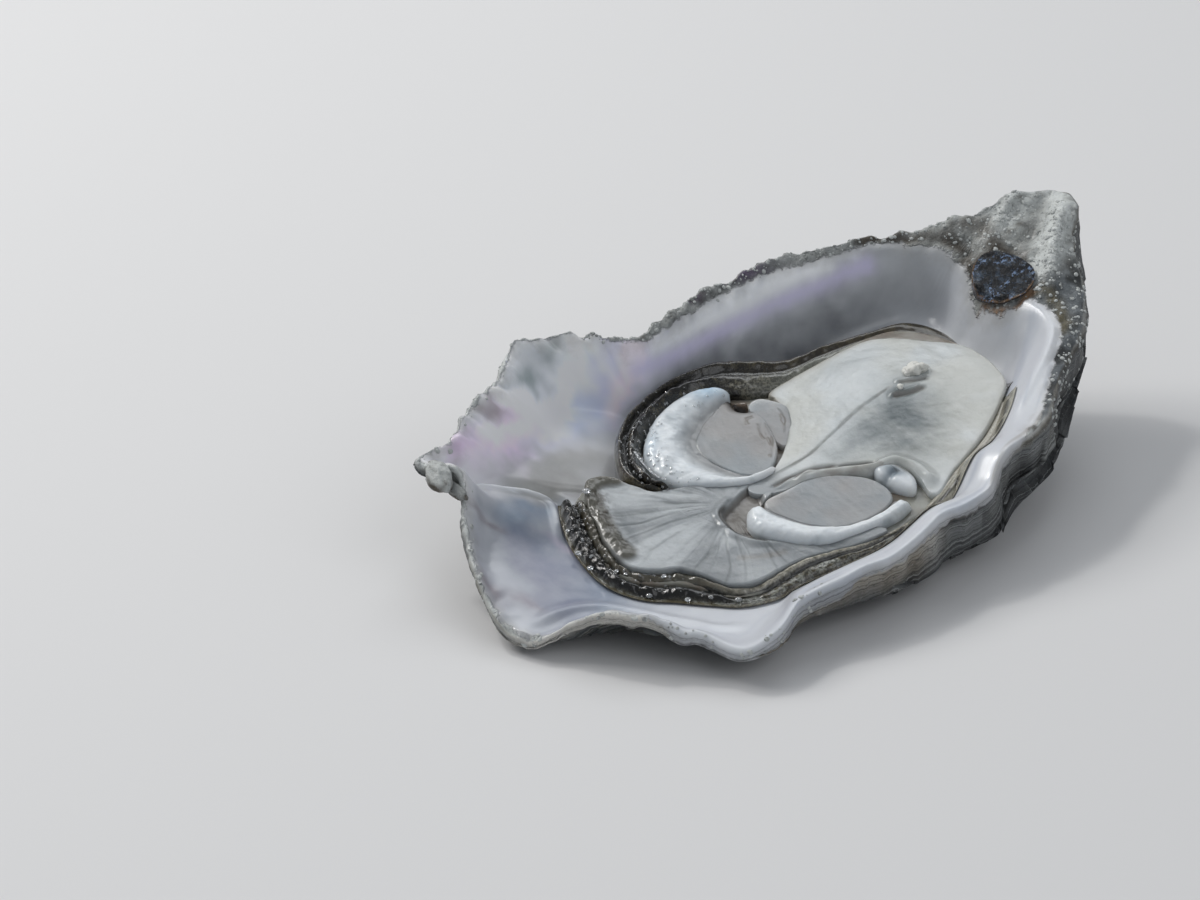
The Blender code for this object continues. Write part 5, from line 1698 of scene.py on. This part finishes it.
extras = {
    # small lumps: place, radii, turn (the crumb's parts lie on the body, the others have a height)
    "crumb": (((20.1, -7.5), (1.1, 0.95, 0.95), 20), ((20.9, -8.1), (0.8, 0.7, 0.75), -20),
              ((19.3, -6.9), (0.7, 0.55, 0.5), 40), ((16.2, -8.0), (0.45, 0.4, 0.3), 30)),
    "crumbSeeds": (400, 401, 403, 402),
    "nub": ((-35.5, 21.8, 3.2), (2.3, 1.5, 1.3), 60),
    "underFlake": ((-35.4, 19.6, 2.3), (2.5, 0.9, 0.6), 75),
    "chalk": screen(218, 218, 212),
    "liquor": screen(240, 243, 245),
    # a long glint of liquor on the back mantle: its stops, how thick it is and its number of drops
    "trail": (((-12.2, 10.9), (-13.0, 9.4), (-13.7, 7.7), (-14.1, 6.0)), 0.2, 22),
    # drops on the flesh: place and radius
    "drops": ((-29.6, 6.2, 0.4), (-30.7, 3.6, 0.4), (-29.4, 0.8, 0.28), (-29.2, -0.3, 0.25),
              (-29.5, -4.1, 0.3), (-30.4, -4.6, 0.42), (-27.5, -4.6, 0.3), (-21.2, 11.4, 0.5),
              (-27.4, 9.4, 0.26), (-26.6, -10.6, 0.4), (-25.2, -13.4, 0.45), (-28.4, -8.6, 0.4),
              (-12.8, 9.6, 0.32), (-14.6, 7.4, 0.24), (-13.9, 5.4, 0.3), (-8.9, -16.0, 0.3)),
    "scattered": (("mantle_front", 1.0, 21), ("mantle_back", 1.5, 22), ("muscle_back_band", 2.6, 23),
                  ("muscle_front_band", 1.4, 24)),
}


# the height of the meat under the placed drops: the front mantle, or the seams beside it
def dropBed(x, y):
    front = np.array([outer + inner for outer, inner in frontFrill])
    gap = np.hypot(front[:, 0] - x[:, None], front[:, 1] - y[:, None]).min(1)
    return np.where(gap < 3.4, -3.0 - 0.0013 * (x - 5) ** 2 + 0.1, -3.6)


def gritFinish():
    finish = Finish("crustGrains", Roughness=0.8)
    mottle = finish.between(finish.noise(1.3, 3, 0.6), 0.3, 0.5)
    colour = finish.blend(mottle, crustColours["ash"] * 0.6, crustColours["chalk"] * 0.8)
    finish.set(Base_Color=colour, Normal=finish.bump(finish.noise(0.3, 3, 0.6), 0.15))
    return finish.material


def chalkyFinish():
    finish = Finish("chalkyCrumb", Base_Color=extras["chalk"], Roughness=0.45, Subsurface_Weight=0.3,
                    Subsurface_Radius=(1.0, 1.0, 1.0), Subsurface_Scale=0.0006)
    finish.set(Normal=finish.bump(finish.noise(0.4, 4, 0.6), 0.2))
    return finish.material


# the crumb with its nodule on the body, and the curled nub and the flake at the left tip
def makeLumps(shellFinish):
    chalky = chalkyFinish()
    names = ("chip", "chipLobe", "chipFoot", "nodule")
    for name, seed, ((x, y), radii, turn) in zip(names, extras["crumbSeeds"], extras["crumb"]):
        z = float(bodyTop(np.array([x]), np.array([y]))[0]) + radii[2] * 0.55
        pebble(name, (x, y, z), radii, turn, chalky, 0.3, seed, 0.5, 0.5, "body")
    for name, seed, shade in (("nub", 410, 0.8), ("underFlake", 411, 0.45)):
        top, under = crustColours["chalk"] * shade, crustColours["umber"] * 0.9
        pebble(name, *extras[name], shellFinish, 0.22, seed, top, under, "shell")


def placedDrops(clear):
    stops, thick, count = extras["trail"]
    drops = np.array([*extras["drops"], *((*place, thick) for place in curve(stops, count, False))])
    x, y, size = drops.T
    cloud = bpy.data.meshes.new("dropPlaces")
    cloud.from_pydata(toRow(at(x, y, dropBed(x, y))).tolist(), [], [])
    cloud.attributes.new("size", "FLOAT", "POINT").data.foreach_set("value", size * mm)
    places = placed("dropPlaces", cloud)
    given = {"Source": places, "Mask": "size", "Flatness": 0.6, "Length": 1.0, "Finish": clear}
    settle(grainGrowth(False).grown("placed_drops", given), None)
    bpy.data.objects.remove(places)


def makeExtras(valvePiece, shellFinish, wet):
    # clear drops of liquor; the fifth of them that is diffuse white is a painted highlight, so that they
    # read as glints
    clear = Finish("clearDrops", Base_Color=extras["liquor"], Roughness=0.03, IOR=1.4,
                   Transmission_Weight=0.8, Coat_Weight=1.0, Coat_Roughness=0.02).material
    grit = gritFinish()
    makeLumps(shellFinish)
    scatterGrains("rim_grit", valvePiece, "grains", grit, 2.2, (0.08, 0.3), 0.7, 1.2, 7)
    placedDrops(clear)
    for name, density, seed in extras["scattered"]:
        scatterGrains(name + "_drops", wet[name], "drops", clear, density, (0.07, 0.27), 0.6, 1.1,
                      seed)


print("the valve")
valvePiece, shellFinish = makeValve()
print("the meat")
makeBody()
makeFan()
mantles = makeMantles()
makeDiscs()
wet = dict(zip((name for name, *_ in extras["scattered"]), mantles + makeBands()))
makeFilm()
print("the ligament")
makeLigament()
print("grit, flakes and drops")
makeExtras(valvePiece, shellFinish, wet)


# the floor, the lights and the camera
studio = {
    "floor": (1.6, screen(214, 214, 214)),
    "air": (0.38, screen(226, 230, 236)),
    "lamps": (                          # bearing, height angle, distance, size (m), power (W), colour
        (100.0, 46.0, 0.75, (0.45, 0.3), 2.8, (1.0, 0.98, 0.96)),
        (84.0, 52.0, 0.8, (0.06, 0.06), 0.9, (1.0, 0.99, 0.97)),
        (26.0, 50.0, 0.9, (0.5, 0.4), 1.3, (0.94, 0.97, 1.0)),
        (-100.0, 42.0, 1.0, (0.7, 0.6), 1.6, (0.95, 0.97, 1.0)),
    ),
    "bearing": -53.0,
    "elevation": 27.0,
    "distance": 0.4365,
    "right": 0.02024,                   # how far right of the camera's axis the valve's origin lies
    "up": 0.00452,                      # and how far above it
    "lens": 110.0,
}


def facing(place, target):
    back = np.asarray(place, float) - np.asarray(target, float)
    back = back / np.linalg.norm(back)
    right = np.cross((0, 0, 1), back)
    right = right / np.linalg.norm(right)
    turned = np.stack([right, np.cross(back, right), back], 1)
    matrix = Matrix(turned.tolist()).to_4x4()
    matrix.translation = place
    return matrix


def makeFloor():
    size, colour = studio["floor"]
    mesh = bpy.data.meshes.new("floor")
    corners = [(-size, -size, 0), (size, -size, 0), (size, size, 0), (-size, size, 0)]
    mesh.from_pydata(corners, [], [(0, 1, 2, 3)])
    mesh.materials.append(Finish("paleFloor", Base_Color=colour, Roughness=0.7).material)
    placed("floor", mesh)


def makeLights():
    world = bpy.data.worlds.new("studio")
    world.use_nodes = True
    strength, colour = studio["air"]
    sky = world.node_tree.nodes["Background"]
    sky.inputs["Color"].default_value = (*colour, 1)
    sky.inputs["Strength"].default_value = strength
    bpy.context.scene.world = world
    for bearing, elevation, distance, (wide, high), power, colour in studio["lamps"]:
        lamp = bpy.data.lights.new("softbox", "AREA")
        lamp.shape = "RECTANGLE"
        lamp.size = wide
        lamp.size_y = high
        lamp.energy = power
        lamp.color = colour
        a, e = math.radians(bearing), math.radians(elevation)
        place = distance * np.array([math.cos(a) * math.cos(e), math.sin(a) * math.cos(e), math.sin(e)])
        placed("softbox", lamp, facing(place, (0, 0, 0.012)))


def makeCamera():
    camera = bpy.data.cameras.new("camera")
    camera.lens = studio["lens"]
    camera.sensor_width = 36.0
    camera.clip_start = 0.01
    a, e = math.radians(studio["bearing"]), math.radians(studio["elevation"])
    back = np.array([math.sin(a) * math.cos(e), -math.cos(a) * math.cos(e), math.sin(e)])
    right = np.array([math.cos(a), math.sin(a), 0])
    middle = np.array(stand["origin"]) * mm - right * studio["right"] - np.cross(back, right) * studio["up"]
    matrix = facing(middle + back * studio["distance"], middle)
    bpy.context.scene.camera = placed("camera", camera, matrix)
    bpy.context.scene.view_settings.view_transform = "Standard"


print("the studio")
makeFloor()
makeLights()
makeCamera()
